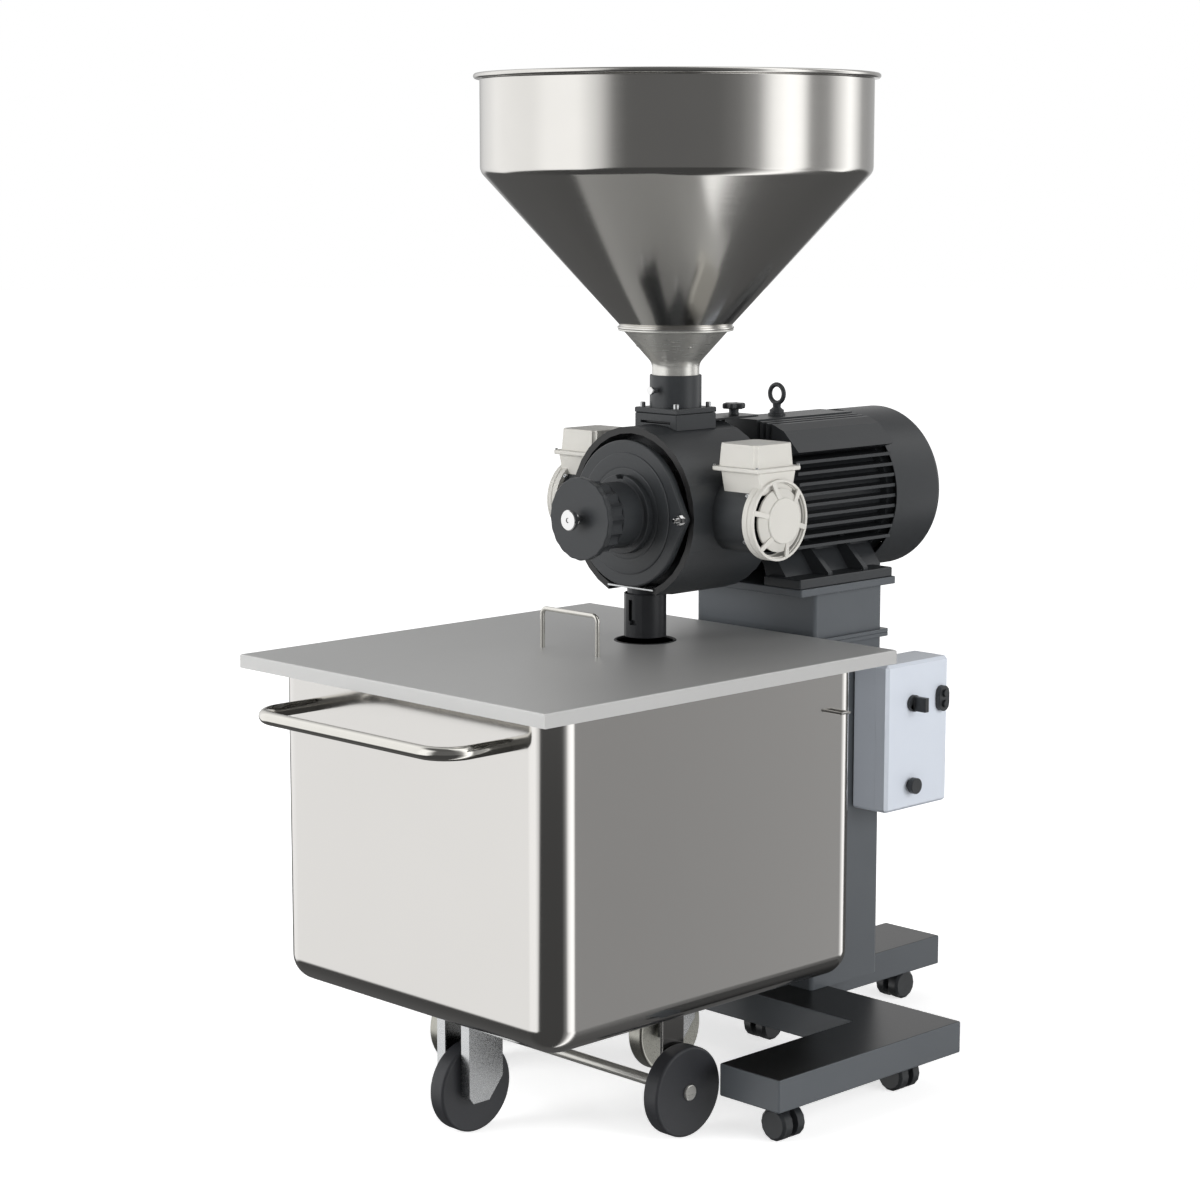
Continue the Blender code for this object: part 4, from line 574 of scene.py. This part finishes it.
def fans():
    """Cooling fan on each side: fan ring, neck, terminal box with screw channels, and the guard."""
    for side, s in SIGN.items():
        low, high = extent("fan_housing_" + side)
        inner = 0.1983 * s
        outer = inner + 0.017 * s
        centre = FAN[side]
        ring = [(0.061, inner), (0.061, inner + 0.0085 * s), (0.0598, inner + 0.0095 * s),
                (0.0598, inner + 0.0110 * s), (0.061, inner + 0.0120 * s), (0.061, outer), (0.055, outer),
                (0.055, inner + 0.002 * s), (0.0533, inner + 0.002 * s), (0.0533, inner)]
        shapes = [lathe(ring, centre, "x", 128, closed=True)]
        flange_low, flange_high = 0.960, 0.967
        y = centre[1]
        neck = [(y - 0.0335, centre[2] + 0.038), (y + 0.0335, centre[2] + 0.038),
                (y + 0.0415, flange_low + 0.001), (y - 0.0415, flange_low + 0.001)]
        lo, hi = sorted((0.136 * s, outer - 0.002 * s))
        shapes.append(slab(fillet(neck, 0.003), lo, hi, "x", 0.003))
        lo, hi = sorted((0.125 * s, high[0] if s > 0 else low[0]))
        span = (hi - lo) / 2
        shapes.append(slab(round_rect(span, 0.0505, 0.006, ((hi + lo) / 2, y)), flange_low, flange_high,
                           edge=0.0022))
        shapes.append(fan_box((0.170 * s, y), 0.040, 0.0435, flange_high - 0.001, high[2]))
        piece("fan_housing_%s_moulded" % side, "moulded_warm_grey_abs", shapes, "fan_housing_" + side)
        guard(side, s, centre)
        screws = []
        for angle in (0.70, -0.55):
            at = centre + (inner - 0.004 * s, -0.0565 * math.cos(angle), 0.0565 * math.sin(angle))
            screws.append(aim(cap_screw(0.0032, 0.0035), (0, -math.cos(angle), math.sin(angle)), at))
        for dx, dy in ((-0.0425, -0.0455), (0.0435, -0.0455), (0.0435, 0.0455), (-0.0425, 0.0455)):
            screws.append(aim(cap_screw(0.0024, 0.0022), (0, 0, 1), ((0.170 + dx) * s, y + dy, flange_high)))
        piece("fan_screws_" + side, "zinc_plated_steel", screws, body="stand")


def fan_box(spot, half_x, half_y, low, high):
    """Terminal box: a rectangle with a hollow quarter circle at each corner, drawn in towards the top."""
    hollow = 0.0062
    turn = np.linspace(0, PI / 2, 7)
    corner = np.stack([np.cos(turn), np.sin(turn)], 1) * hollow
    parts = []
    for quarter, sign in enumerate(np.array([(1, 1), (-1, 1), (-1, -1), (1, -1)])):
        away = corner if quarter % 2 == 0 else corner[::-1]
        parts.append((sign * (half_x, half_y) - away * sign)[::-1])
    outline = np.concatenate(parts) + np.asarray(spot)
    return slab(outline, low, high, "z", 0.0014, 3, taper=0.94)


def guard(side, s, centre):
    """Round guard: outer ring, middle ring, six spokes that run up to a closed hub plate on a cone."""
    low, high = extent("fan_grille_" + side)
    start = low[0] if s > 0 else high[0]
    tip = high[0] if s > 0 else low[0]
    rim = [(0.061, start), (0.061, start + 0.0032 * s), (0.0602, start + 0.004 * s),
           (0.0572, start + 0.004 * s), (0.0565, start + 0.0032 * s), (0.0565, start)]
    cone = [(0.0475, start), (0.0475, start + 0.0030 * s), (0.0462, start + 0.0042 * s),
            (0.0345, tip - 0.0030 * s), (0.0345, tip - 0.0012 * s), (0.0333, tip), (0, tip),
            (0, tip - 0.003 * s), (0.0320, tip - 0.003 * s), (0.0440, start + 0.002 * s), (0.0440, start)]
    shapes = [lathe(rim, centre, "x", 128, closed=True), lathe(cone, centre, "x", 128, closed=True)]
    bar = [(tip - 0.0045 * s, 0.0330), (tip - 0.0014 * s, 0.0330), (start + 0.0044 * s, 0.0590),
           (start + 0.0008 * s, 0.0590)]
    points, quads, ends = slab(bar, -0.0040, 0.0040, "y", 0.0006, 2)
    for k in range(6):
        shapes.append(turned_by((points + centre, quads, ends), (k + 0.25) * PI / 3, "x", centre))
    piece("fan_guard_%s_moulded" % side, "moulded_warm_grey_abs", shapes, "fan_grille_" + side)


def outlet():
    """Spout, its plate and the dropping sleeve with its slot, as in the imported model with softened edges."""
    from_cad("outlet_tube", "blackened_drawn_steel", 0.0004)
    from_cad("outlet_sleeve", "blackened_drawn_steel", 0.0005)
    from_cad("outlet_bracket", "zinc_plated_steel", 0.0006)


def motor():
    """Finned frame, fan cowl, lifting eye and cable box.

    The cowl is a turned sheet. Its air slots are quads left out: those near one of two radii and near one of
    a number of equally spaced angles.
    """
    from_cad("motor_frame", "satin_powder_coated_casting", 0.0008)
    low, high = extent("motor_fan_cowl")
    front, rear = low[1], high[1]
    radius = (high[0] - low[0]) / 2
    profile = fillet([(0.001, rear), (radius, rear), (radius, front)], [0, 0.012, 0], closed=False, steps=8)
    disc = np.stack([np.linspace(0.001, radius - 0.012, 40), np.full(40, rear)], 1)
    along = np.concatenate([disc, profile[9:]])
    sides = 216
    turn = 2 * PI * np.arange(sides) / sides
    points = stand_up(along[:, :1] * np.cos(turn), along[:, :1] * np.sin(turn), along[:, 1:], "y") + AXIS
    r = (along[:-1, :1] + along[1:, :1]) / 2
    mid = turn + PI / sides
    keep = np.ones((len(along) - 1, sides), bool)
    for row, count in ((0.048, 5), (0.084, 8)):
        away = np.abs((mid * count / (2 * PI) + 0.5) % 1 - 0.5) * 2 * PI / count
        keep &= ~((np.abs(r - row) < 0.013) & (away * r < 0.0058) & (along[:-1, 1:] > rear - 0.001))
    piece("motor_cowl_pressed", "satin_powder_coated_casting", [grid(points, keep=keep)], "motor_fan_cowl",
          shell=0.0022)
    low, high = extent("eyebolt")
    wire, ring = 0.0036, 0.0145
    centre = middle("eyebolt") * (1, 1, 0) + (0, 0, high[2] - wire - ring)
    turn = np.linspace(0, 2 * PI, 24, endpoint=False)
    eye = lathe(np.stack([ring + wire * np.cos(turn), wire * np.sin(turn)], 1), centre, "y", 72, closed=True)
    base = low[2] + 0.010
    stem = [(0, low[2]), (0.006, low[2]), (0.006, base), (0.0115, base), (0.0115, base + 0.0045),
            (0.0085, base + 0.0065), (0.0062, base + 0.009), (0.0068, centre[2] - ring),
            (0, centre[2] - ring)]
    piece("lifting_eye_forged", "satin_powder_coated_casting",
          [eye, lathe(stem, centre * (1, 1, 0), sides=48)], "eyebolt")
    low, high = extent("terminal_box")
    split = low[0] + 0.016
    case = block((split + 0.0006, low[1], low[2]), (high[0], high[1], high[2]), 0.006, 0.002, "x")
    cover = block((low[0], low[1], low[2]), (split, high[1], high[2]), 0.006, 0.004, "x")
    piece("terminal_box_cast", "satin_powder_coated_casting", [case, cover], "terminal_box")
    screws = [aim(cap_screw(0.0032, 0.001), (-1, 0, 0), (low[0], y, z))
              for y in (low[1] + 0.010, high[1] - 0.010) for z in (low[2] + 0.010, high[2] - 0.010)]
    piece("terminal_box_screws", "zinc_plated_steel", screws, body="stand")


def controls():
    """Control box: a moulded case and its hinged door, with switch, double button and round button."""
    for node in ("control_box", "control_door"):
        from_cad(node, "moulded_pale_polycarbonate", 0.0012)
    for node in ("rotary_switch", "button_bezel", "start_button", "stop_button", "reset_button"):
        from_cad(node, "moulded_black_nylon", 0.0008)


def stand():
    """Base frame, column with its joint's flange, and head column with the motor's seat."""
    low, high = extent("base_frame")
    width = 0.118
    reach, front = high[0], low[1]
    bar, tail = 0.452, high[1]
    inner, half = reach - width, width / 2
    outline = [(reach, front), (reach, bar), (half, bar), (half, tail), (-half, tail), (-half, bar),
               (-reach, bar), (-reach, front), (-inner, front), (-inner, bar - width), (inner, bar - width),
               (inner, front)]
    base = piece("base_frame_welded", "sprayed_steel_section",
                 [slab(fillet(outline, 0.003, steps=3), low[2], high[2], edge=0.0025)], "base_frame")
    # Painted shade: the stand's top faces take the near-black gloss, standing for the shade of tops that get
    # no light from above.
    paint_shade_on_faces(base, "near_black_painted_shade", 2, 1, high[2], 0.004)

    low, high = extent("column")
    col_front, col_rear, half = 0.4085, 0.5695, 0.128
    mid = (0, (col_front + col_rear) / 2)
    deep = (col_rear - col_front) / 2
    corner, wall = 0.007, 0.004

    def section(bottom, top):
        return slab(round_rect(half, deep, corner, mid), bottom, top, edge=0.0002, steps=1,
                    hole=round_rect(half - wall, deep - wall, corner - wall, mid))

    def flange(bottom, top):
        return slab(round_rect(half + 0.008, deep + 0.008, 0.004, mid), bottom, top, edge=0.0008,
                    hole=round_rect(half - wall, deep - wall, corner - wall, mid))

    joint = high[2]
    piece("column_welded", "sprayed_steel_section",
          [section(low[2], joint - 0.0005), flange(joint - 0.006, joint)], "column")
    low, high = extent("head_column")
    seat_low = high[2] - 0.012
    seat = block((low[0], low[1], seat_low), (high[0], high[1], high[2]), 0.003, 0.0015)
    piece("head_column_welded", "sprayed_steel_section",
          [section(low[2] + 0.0002, seat_low + 0.001), flange(low[2], low[2] + 0.006), seat], "head_column")


def bin_tub():
    """Deep-drawn tub: rounded rectangles, drawn in along a quarter circle at the foot, and a turned rim."""
    half_x, half_y, bottom = 0.298, 0.321, 0.193
    corner, foot, wall, rim = 0.047, 0.040, 0.002, 0.012
    top = 0.6907 - 0.0023

    def row(grow, level):
        flat = round_rect(half_x + grow, half_y + grow, max(corner + grow, 0.004), steps=12)
        return stand_up(flat[:, 0], flat[:, 1], level, "z")

    turn = np.linspace(0, PI / 2, 13)
    outer = [row(-foot * (1 - math.sin(t)), bottom + foot * (1 - math.cos(t))) for t in turn]
    rise = [row(0, level) for level in (top - 0.010, top - 0.004)]
    lip = [row(0.0012, top - 0.0022), row(0.0035, top - 0.0015), row(rim, top - 0.0015), row(rim, top),
           row(-wall, top)]
    inside = foot - wall
    inner = [row(-wall - inside * (1 - math.sin(t)), bottom + wall + inside * (1 - math.cos(t)))
             for t in turn[::-1]]
    shapes = [grid(np.array(outer + rise + lip + inner), caps=(True, True))]
    hook_y, hook_z, rod, reach = 0.262, 0.606, 0.0022, 0.020
    for step in (-0.008, 0.008):
        path = [(half_x - 0.001, hook_y + step, hook_z), (half_x + reach, hook_y + step, hook_z)]
        shapes.append(tube(path, rod))
    tip = half_x + reach - rod
    shapes.append(tube([(tip, hook_y - 0.0095, hook_z), (tip, hook_y + 0.0095, hook_z)], rod))
    for y in (-0.205, 0.205):
        pad = block((-0.020, y - 0.022, bottom - 0.004), (0.020, y + 0.022, bottom + 0.001), 0.003, 0.0006)
        shapes.append(pad)
    for s in (-1, 1):
        x = s * 0.215
        arm = [(-0.022, 0.0495), (0.022, 0.0495), (0.022, bottom + 0.001), (-0.022, bottom + 0.001)]
        shapes.append(slab(fillet(arm, [0.012, 0.012, 0.001, 0.001]), x - 0.003, x + 0.003, "x", 0.0006))
    piece("bin_tub_drawn", "pressed_stainless_sheet", shapes, "bin_tub")


def bin_lid():
    """Lid with a skirt: rectangles and a circle matched ray by ray; then its wire handle and its edging."""
    low, high = extent("bin_lid")
    half_x, half_y = (high[0] - low[0]) / 2, (high[1] - low[1]) / 2
    top, bottom, sheet = 0.6907, low[2], 0.002
    hole, spot, soft = 0.0465, np.array([0, 0.160]), 0.0024
    count = 4 * 40
    turn = 2 * PI * np.arange(count) / count + PI / 4
    ray = np.stack([np.cos(turn), np.sin(turn)], 1)
    unit = ray / np.abs(ray).max(1)[:, None]

    def row(grow, level):
        flat = unit * (half_x + grow, half_y + grow)
        return stand_up(flat[:, 0], flat[:, 1], level, "z")

    def ring(radius, level):
        flat = ray * radius + spot
        return stand_up(flat[:, 0], flat[:, 1], level, "z")

    bend = np.linspace(0, PI / 2, 6)
    rows = [row(-sheet, bottom), row(0, bottom), row(0, top - soft)]
    rows += [row(-soft * (1 - math.cos(t)), top - soft * (1 - math.sin(t))) for t in bend[1:]]
    rows += [ring(hole, top), ring(hole, top - sheet), row(-sheet, top - sheet)]
    piece("bin_lid_folded", "brushed_stainless_lid", [grid(np.array(rows), closed=True)], "bin_lid")
    path = fillet([(-0.059, 0, top - 0.001), (-0.059, 0, high[2] - 0.0036), (0.059, 0, high[2] - 0.0036),
                   (0.059, 0, top - 0.001)], [0, 0.009, 0.009, 0], closed=False, steps=8)
    piece("bin_lid_handle", "polished_stainless_rod", [tube(path, 0.0036, (0, 1, 0), 20)], body="bin_lid")
    grip = np.linspace(0, 2 * PI, 16, endpoint=False)
    edging = np.stack([hole - 0.0004 + 0.0022 * np.cos(grip), top - 0.0008 + 0.0020 * np.sin(grip)], 1)
    piece("lid_hole_edging", "edging_rubber", [lathe(edging, (spot[0], spot[1], 0), sides=96, closed=True)],
          body="bin_lid")


def bin_handle():
    """Push handle: a round tube along a U with two bends."""
    low, high = extent("push_handle")
    r = 0.0098
    x, z = high[0] - r, (low[2] + high[2]) / 2
    back, front = high[1], low[1] + r
    path = fillet([(-x, back, z), (-x, front, z), (x, front, z), (x, back, z)], [0, 0.046, 0.046, 0],
                  closed=False, steps=14)
    piece("push_handle_bent", "polished_stainless_rod", [tube(path, r, (0, 0, 1), 32)], "push_handle")


def bin_wheels():
    """Solid wheels: turned sections with round shoulders; then the axle with its caps, and the forks."""
    for name, finish_name in (("bin_wheel_right", "cast_polyurethane_wheel"),
                              ("bin_wheel_left", "turned_steel_wheel"),
                              ("bin_caster_wheel_front", "cast_polyurethane_wheel"),
                              ("bin_caster_wheel_rear", "turned_steel_wheel")):
        low, high = extent(name)
        centre = (low + high) / 2
        half, radius, hub = (high[0] - low[0]) / 2, (high[2] - low[2]) / 2, 0.0088
        section = [(hub, half), (radius, half), (radius, -half), (hub, -half)]
        piece(name + "_turned", finish_name,
              [lathe(fillet(section, [0.0004, 0.0045, 0.0045, 0.0004]), centre, "x", 128, closed=True)], name)
    low, high = extent("bin_axle")
    end, cap = high[0], 0.004
    half = [(0, end), (0.0105, end), (0.0115, end - 0.001), (0.0115, end - cap), (0.0085, end - cap)]
    profile = np.array(half + [(r, -x) for r, x in reversed(half)])
    piece("bin_axle_turned", "satin_turned_stainless", [lathe(profile, middle("bin_axle"), "x", 64)],
          "bin_axle")
    for name in ("bin_caster_fork_front", "bin_caster_fork_rear"):
        from_cad(name, "zinc_plated_steel", 0.0006)


def stand_casters():
    """Twin-wheel casters and their straps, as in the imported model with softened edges."""
    for node in list(frame["nodes"]):
        if node.startswith("stand_caster_wheels_"):
            from_cad(node, "moulded_black_nylon", 0.0006, sharp=40)
        elif node.startswith("stand_caster_strap_"):
            from_cad(node, "moulded_black_nylon", 0.0006)


def inside_parts():
    """Parts that are seen only through openings keep their CAD shape and take their finish."""
    for node, name in (("fixed_burr", "machined_cast_steel"), ("rotating_burr", "machined_cast_steel"),
                       ("main_shaft", "machined_cast_steel"), ("motor_fan", "moulded_black_nylon"),
                       ("fan_rotor_right", "moulded_black_nylon"), ("fan_rotor_left", "moulded_black_nylon")):
        mesh = frame["nodes"][node].data
        mesh.materials.clear()
        mesh.materials.append(MATERIAL[name])


# ---------------------------------------------------------------- studio
def emission(name, build):
    """Emission-only material whose strength comes from `build(tree)`."""
    mat = bpy.data.materials.new(name)
    mat.use_nodes = True
    tree = mat.node_tree
    tree.nodes.clear()
    out = put(tree, "ShaderNodeOutputMaterial")
    glow = put(tree, "ShaderNodeEmission", {"Color": (1, 1, 1, 1), "Strength": build(tree)})
    tree.links.new(glow.outputs[0], out.inputs["Surface"])
    return mat


# How bright the studio is round the machine: degrees from the front towards the right, brightness.
WALLS = [(-180, 0.45), (-171, 0.40), (-150, 0.50), (-142, 0.80), (-138, 0.90), (-135, 0.42), (-131, 0.40),
         (-125, 0.44), (-108, 0.85), (-95, 1.05), (-85, 1.22), (-48, 1.14), (-36, 1.32), (-14, 1.34),
         (-1, 0.88), (8, 0.26), (15, 0.14), (68, 0.15), (80, 0.22), (91, 0.42), (101, 1.35), (112, 1.70),
         (120, 1.55), (127, 0.40), (134, 0.34), (141, 0.42), (150, 0.95), (163, 1.70), (172, 1.00),
         (180, 0.40)]
# The same for what lies steeply below: a dark floor with one bright patch on the right.
BELOW = [(-180, 0.10), (-90, 0.11), (-40, 0.07), (78, 0.07), (94, 0.35), (106, 1.15), (116, 1.70),
         (124, 1.50), (131, 0.55), (138, 0.20), (150, 0.12), (180, 0.10)]
# The same for what lies overhead: dark but for a wide lamp on the right and a paler patch at the rear left.
ABOVE = [(-180, 0.60), (-110, 0.60), (-80, 0.12), (75, 0.12), (100, 1.00), (125, 1.60), (152, 1.30),
         (168, 0.60), (180, 0.60)]
# How much higher the dark floor reaches, as the sine of its height.
LIFT = [(-180, 0.24), (-108, 0.24), (-88, 0.0), (-12, 0.0), (8, 0.22), (84, 0.22), (98, 0.0), (165, 0.0),
        (175, 0.24), (180, 0.24)]
PEAK = 1.7


def brightness_round(tree, turn, table):
    """Brightness looked up in a table of directions."""
    ramp = put(tree, "ShaderNodeValToRGB", {0: turn})
    stops = ramp.color_ramp.elements
    for degrees, value in table:
        place = (degrees + 180) / 360
        stop = stops[0] if place == 0 else stops[-1] if place == 1 else stops.new(place)
        stop.color = (value / PEAK, value / PEAK, value / PEAK, 1)
    return put(tree, "ShaderNodeMath", {0: ramp.outputs[0], 1: PEAK}, operation="MULTIPLY").outputs[0]


def wall_glow(tree):
    """Brightness by direction: one table round the horizon, one steeply below and one overhead."""
    place = put(tree, "ShaderNodeTexCoord").outputs["Object"]
    way = put(tree, "ShaderNodeVectorMath", {0: place}, operation="NORMALIZE")
    xyz = put(tree, "ShaderNodeSeparateXYZ", {0: way.outputs[0]})
    front = put(tree, "ShaderNodeMath", {0: xyz.outputs["Y"], 1: -1.0}, operation="MULTIPLY")
    angle = put(tree, "ShaderNodeMath", {0: xyz.outputs["X"], 1: front.outputs[0]}, operation="ARCTAN2")
    turn = put(tree, "ShaderNodeMapRange", {0: angle.outputs[0], 1: -PI, 2: PI, 3: 0.0, 4: 1.0}).outputs[0]

    def step(height, low, high):
        """Smooth step of a height between two sines."""
        return put(tree, "ShaderNodeMapRange", {0: height, 1: low, 2: high, 3: 0.0, 4: 1.0},
                   interpolation_type="SMOOTHSTEP").outputs[0]

    lifted = put(tree, "ShaderNodeMath", {0: xyz.outputs["Z"], 1: brightness_round(tree, turn, LIFT)},
                 operation="SUBTRACT").outputs[0]
    level = put(tree, "ShaderNodeMix", {0: step(lifted, -0.43, -0.33), 2: brightness_round(tree, turn, BELOW),
                                        3: brightness_round(tree, turn, WALLS)}, data_type="FLOAT").outputs[0]
    return put(tree, "ShaderNodeMix", {0: step(xyz.outputs["Z"], 0.70, 0.90), 2: level,
                                       3: brightness_round(tree, turn, ABOVE)}, data_type="FLOAT").outputs[0]


def staged(name, shape, mat):
    """A studio object that isn't part of the machine."""
    points, quads, ends = shape
    mesh = bpy.data.meshes.new(name)
    mesh.from_pydata(points.tolist(), [], quads.tolist() + [end.tolist() for end in ends])
    mesh.materials.append(mat)
    mesh.shade_smooth()
    obj = bpy.data.objects.new(name, mesh)
    bpy.context.scene.collection.objects.link(obj)
    return obj


def seen_rays(tree):
    """One for rays that see the background: from the camera, from gloss and through glass."""
    path = put(tree, "ShaderNodeLightPath")
    seen = put(tree, "ShaderNodeMath", {0: path.outputs["Is Camera Ray"], 1: path.outputs["Is Glossy Ray"]},
               operation="ADD")
    return put(tree, "ShaderNodeMath", {0: seen.outputs[0], 1: path.outputs["Is Transmission Ray"]},
               operation="ADD", use_clamp=True).outputs[0]


def floor_material():
    """White sweep: plain diffuse, topped up to white for what sees it as background; the shadow stays."""
    mat = bpy.data.materials.new("painted_studio_floor")
    mat.use_nodes = True
    tree = mat.node_tree
    tree.nodes.clear()
    out = put(tree, "ShaderNodeOutputMaterial")
    plain = put(tree, "ShaderNodeBsdfDiffuse", {"Color": (0.78, 0.78, 0.78, 1)})
    place = put(tree, "ShaderNodeTexCoord").outputs["Object"]
    away = put(tree, "ShaderNodeVectorMath", {0: place}, operation="LENGTH")
    top_up = put(tree, "ShaderNodeMapRange", {0: away.outputs["Value"], 1: 0.6, 2: 1.7, 3: 0.66, 4: 1.0})
    strength = put(tree, "ShaderNodeMath", {0: top_up.outputs[0], 1: seen_rays(tree)}, operation="MULTIPLY")
    glow = put(tree, "ShaderNodeEmission", {"Strength": strength.outputs[0]})
    both = put(tree, "ShaderNodeAddShader", {0: plain.outputs[0], 1: glow.outputs[0]})
    tree.links.new(both.outputs[0], out.inputs["Surface"])
    return mat


def area_lamp(name, azimuth, elevation, away, wide, tall, power):
    """Soft rectangular lamp aimed at the machine. It lights matt surfaces; the walls do the reflections."""
    data = bpy.data.lights.new(name, "AREA")
    data.shape = "RECTANGLE"
    data.size, data.size_y = wide, tall
    data.energy = power
    lamp = bpy.data.objects.new(name, data)
    a, e = math.radians(azimuth), math.radians(elevation)
    lamp.location = (away * math.sin(a) * math.cos(e), -away * math.cos(a) * math.cos(e),
                     0.75 + away * math.sin(e))
    lamp.rotation_euler = (PI / 2 - e, 0, a)
    lamp.visible_glossy = False
    bpy.context.scene.collection.objects.link(lamp)


def studio():
    """Floor, a far glowing dome that only reflections see, four soft lamps, a plain world and the camera."""
    radii = np.array([0.001, 1, 3, 30])
    turn = 2 * PI * np.arange(64) / 64
    disc = stand_up(radii[:, None] * np.cos(turn), radii[:, None] * np.sin(turn), 0.0, "z")
    floor = staged("studio_floor", grid(disc, caps=(True, False)), floor_material())
    floor.visible_glossy = False
    tilt = np.linspace(-PI / 2, PI / 2, 49)
    far = 60.0
    dome = lathe(np.stack([far * np.cos(tilt), far * np.sin(tilt)], 1), sides=96)
    walls = staged("studio_walls", dome, emission("studio_wall_glow", wall_glow))
    for ray in ("camera", "diffuse", "transmission", "volume_scatter", "shadow"):
        setattr(walls, "visible_" + ray, False)
    area_lamp("front_left_softbox", -22, 14, 4.6, 3.0, 2.6, 160)
    area_lamp("right_softbox", 98, 14, 4.6, 3.0, 2.6, 128)
    area_lamp("near_fill", 52, 8, 4.6, 1.6, 1.6, 45)
    area_lamp("top_softbox", 40, 86, 3.6, 1.6, 1.6, 20)

    world = bpy.data.worlds.new("plain_white")
    bpy.context.scene.world = world
    world.use_nodes = True
    tree = world.node_tree
    tree.nodes.clear()
    level = put(tree, "ShaderNodeMix", {0: seen_rays(tree), 2: 0.24, 3: 1.0}, data_type="FLOAT")
    glow = put(tree, "ShaderNodeBackground", {"Color": (1, 1, 1, 1), "Strength": level.outputs[0]})
    out = put(tree, "ShaderNodeOutputWorld")
    tree.links.new(glow.outputs[0], out.inputs["Surface"])

    camera = bpy.data.cameras.new("camera")
    camera.sensor_width = 36.0
    camera.lens = 85.15
    camera.clip_end = 100
    seat = bpy.data.objects.new("camera", camera)
    seat.location = (3.012, -3.0802, 1.4011)
    seat.rotation_euler = (math.radians(90 - 8.606), 0, math.radians(45.53))
    bpy.context.scene.collection.objects.link(seat)
    bpy.context.scene.camera = seat
    bpy.context.scene.view_settings.view_transform = "Standard"


hopper()
inlet()
grinder()
fans()
outlet()
motor()
controls()
stand()
bin_tub()
bin_lid()
bin_handle()
bin_wheels()
stand_casters()
inside_parts()
studio()
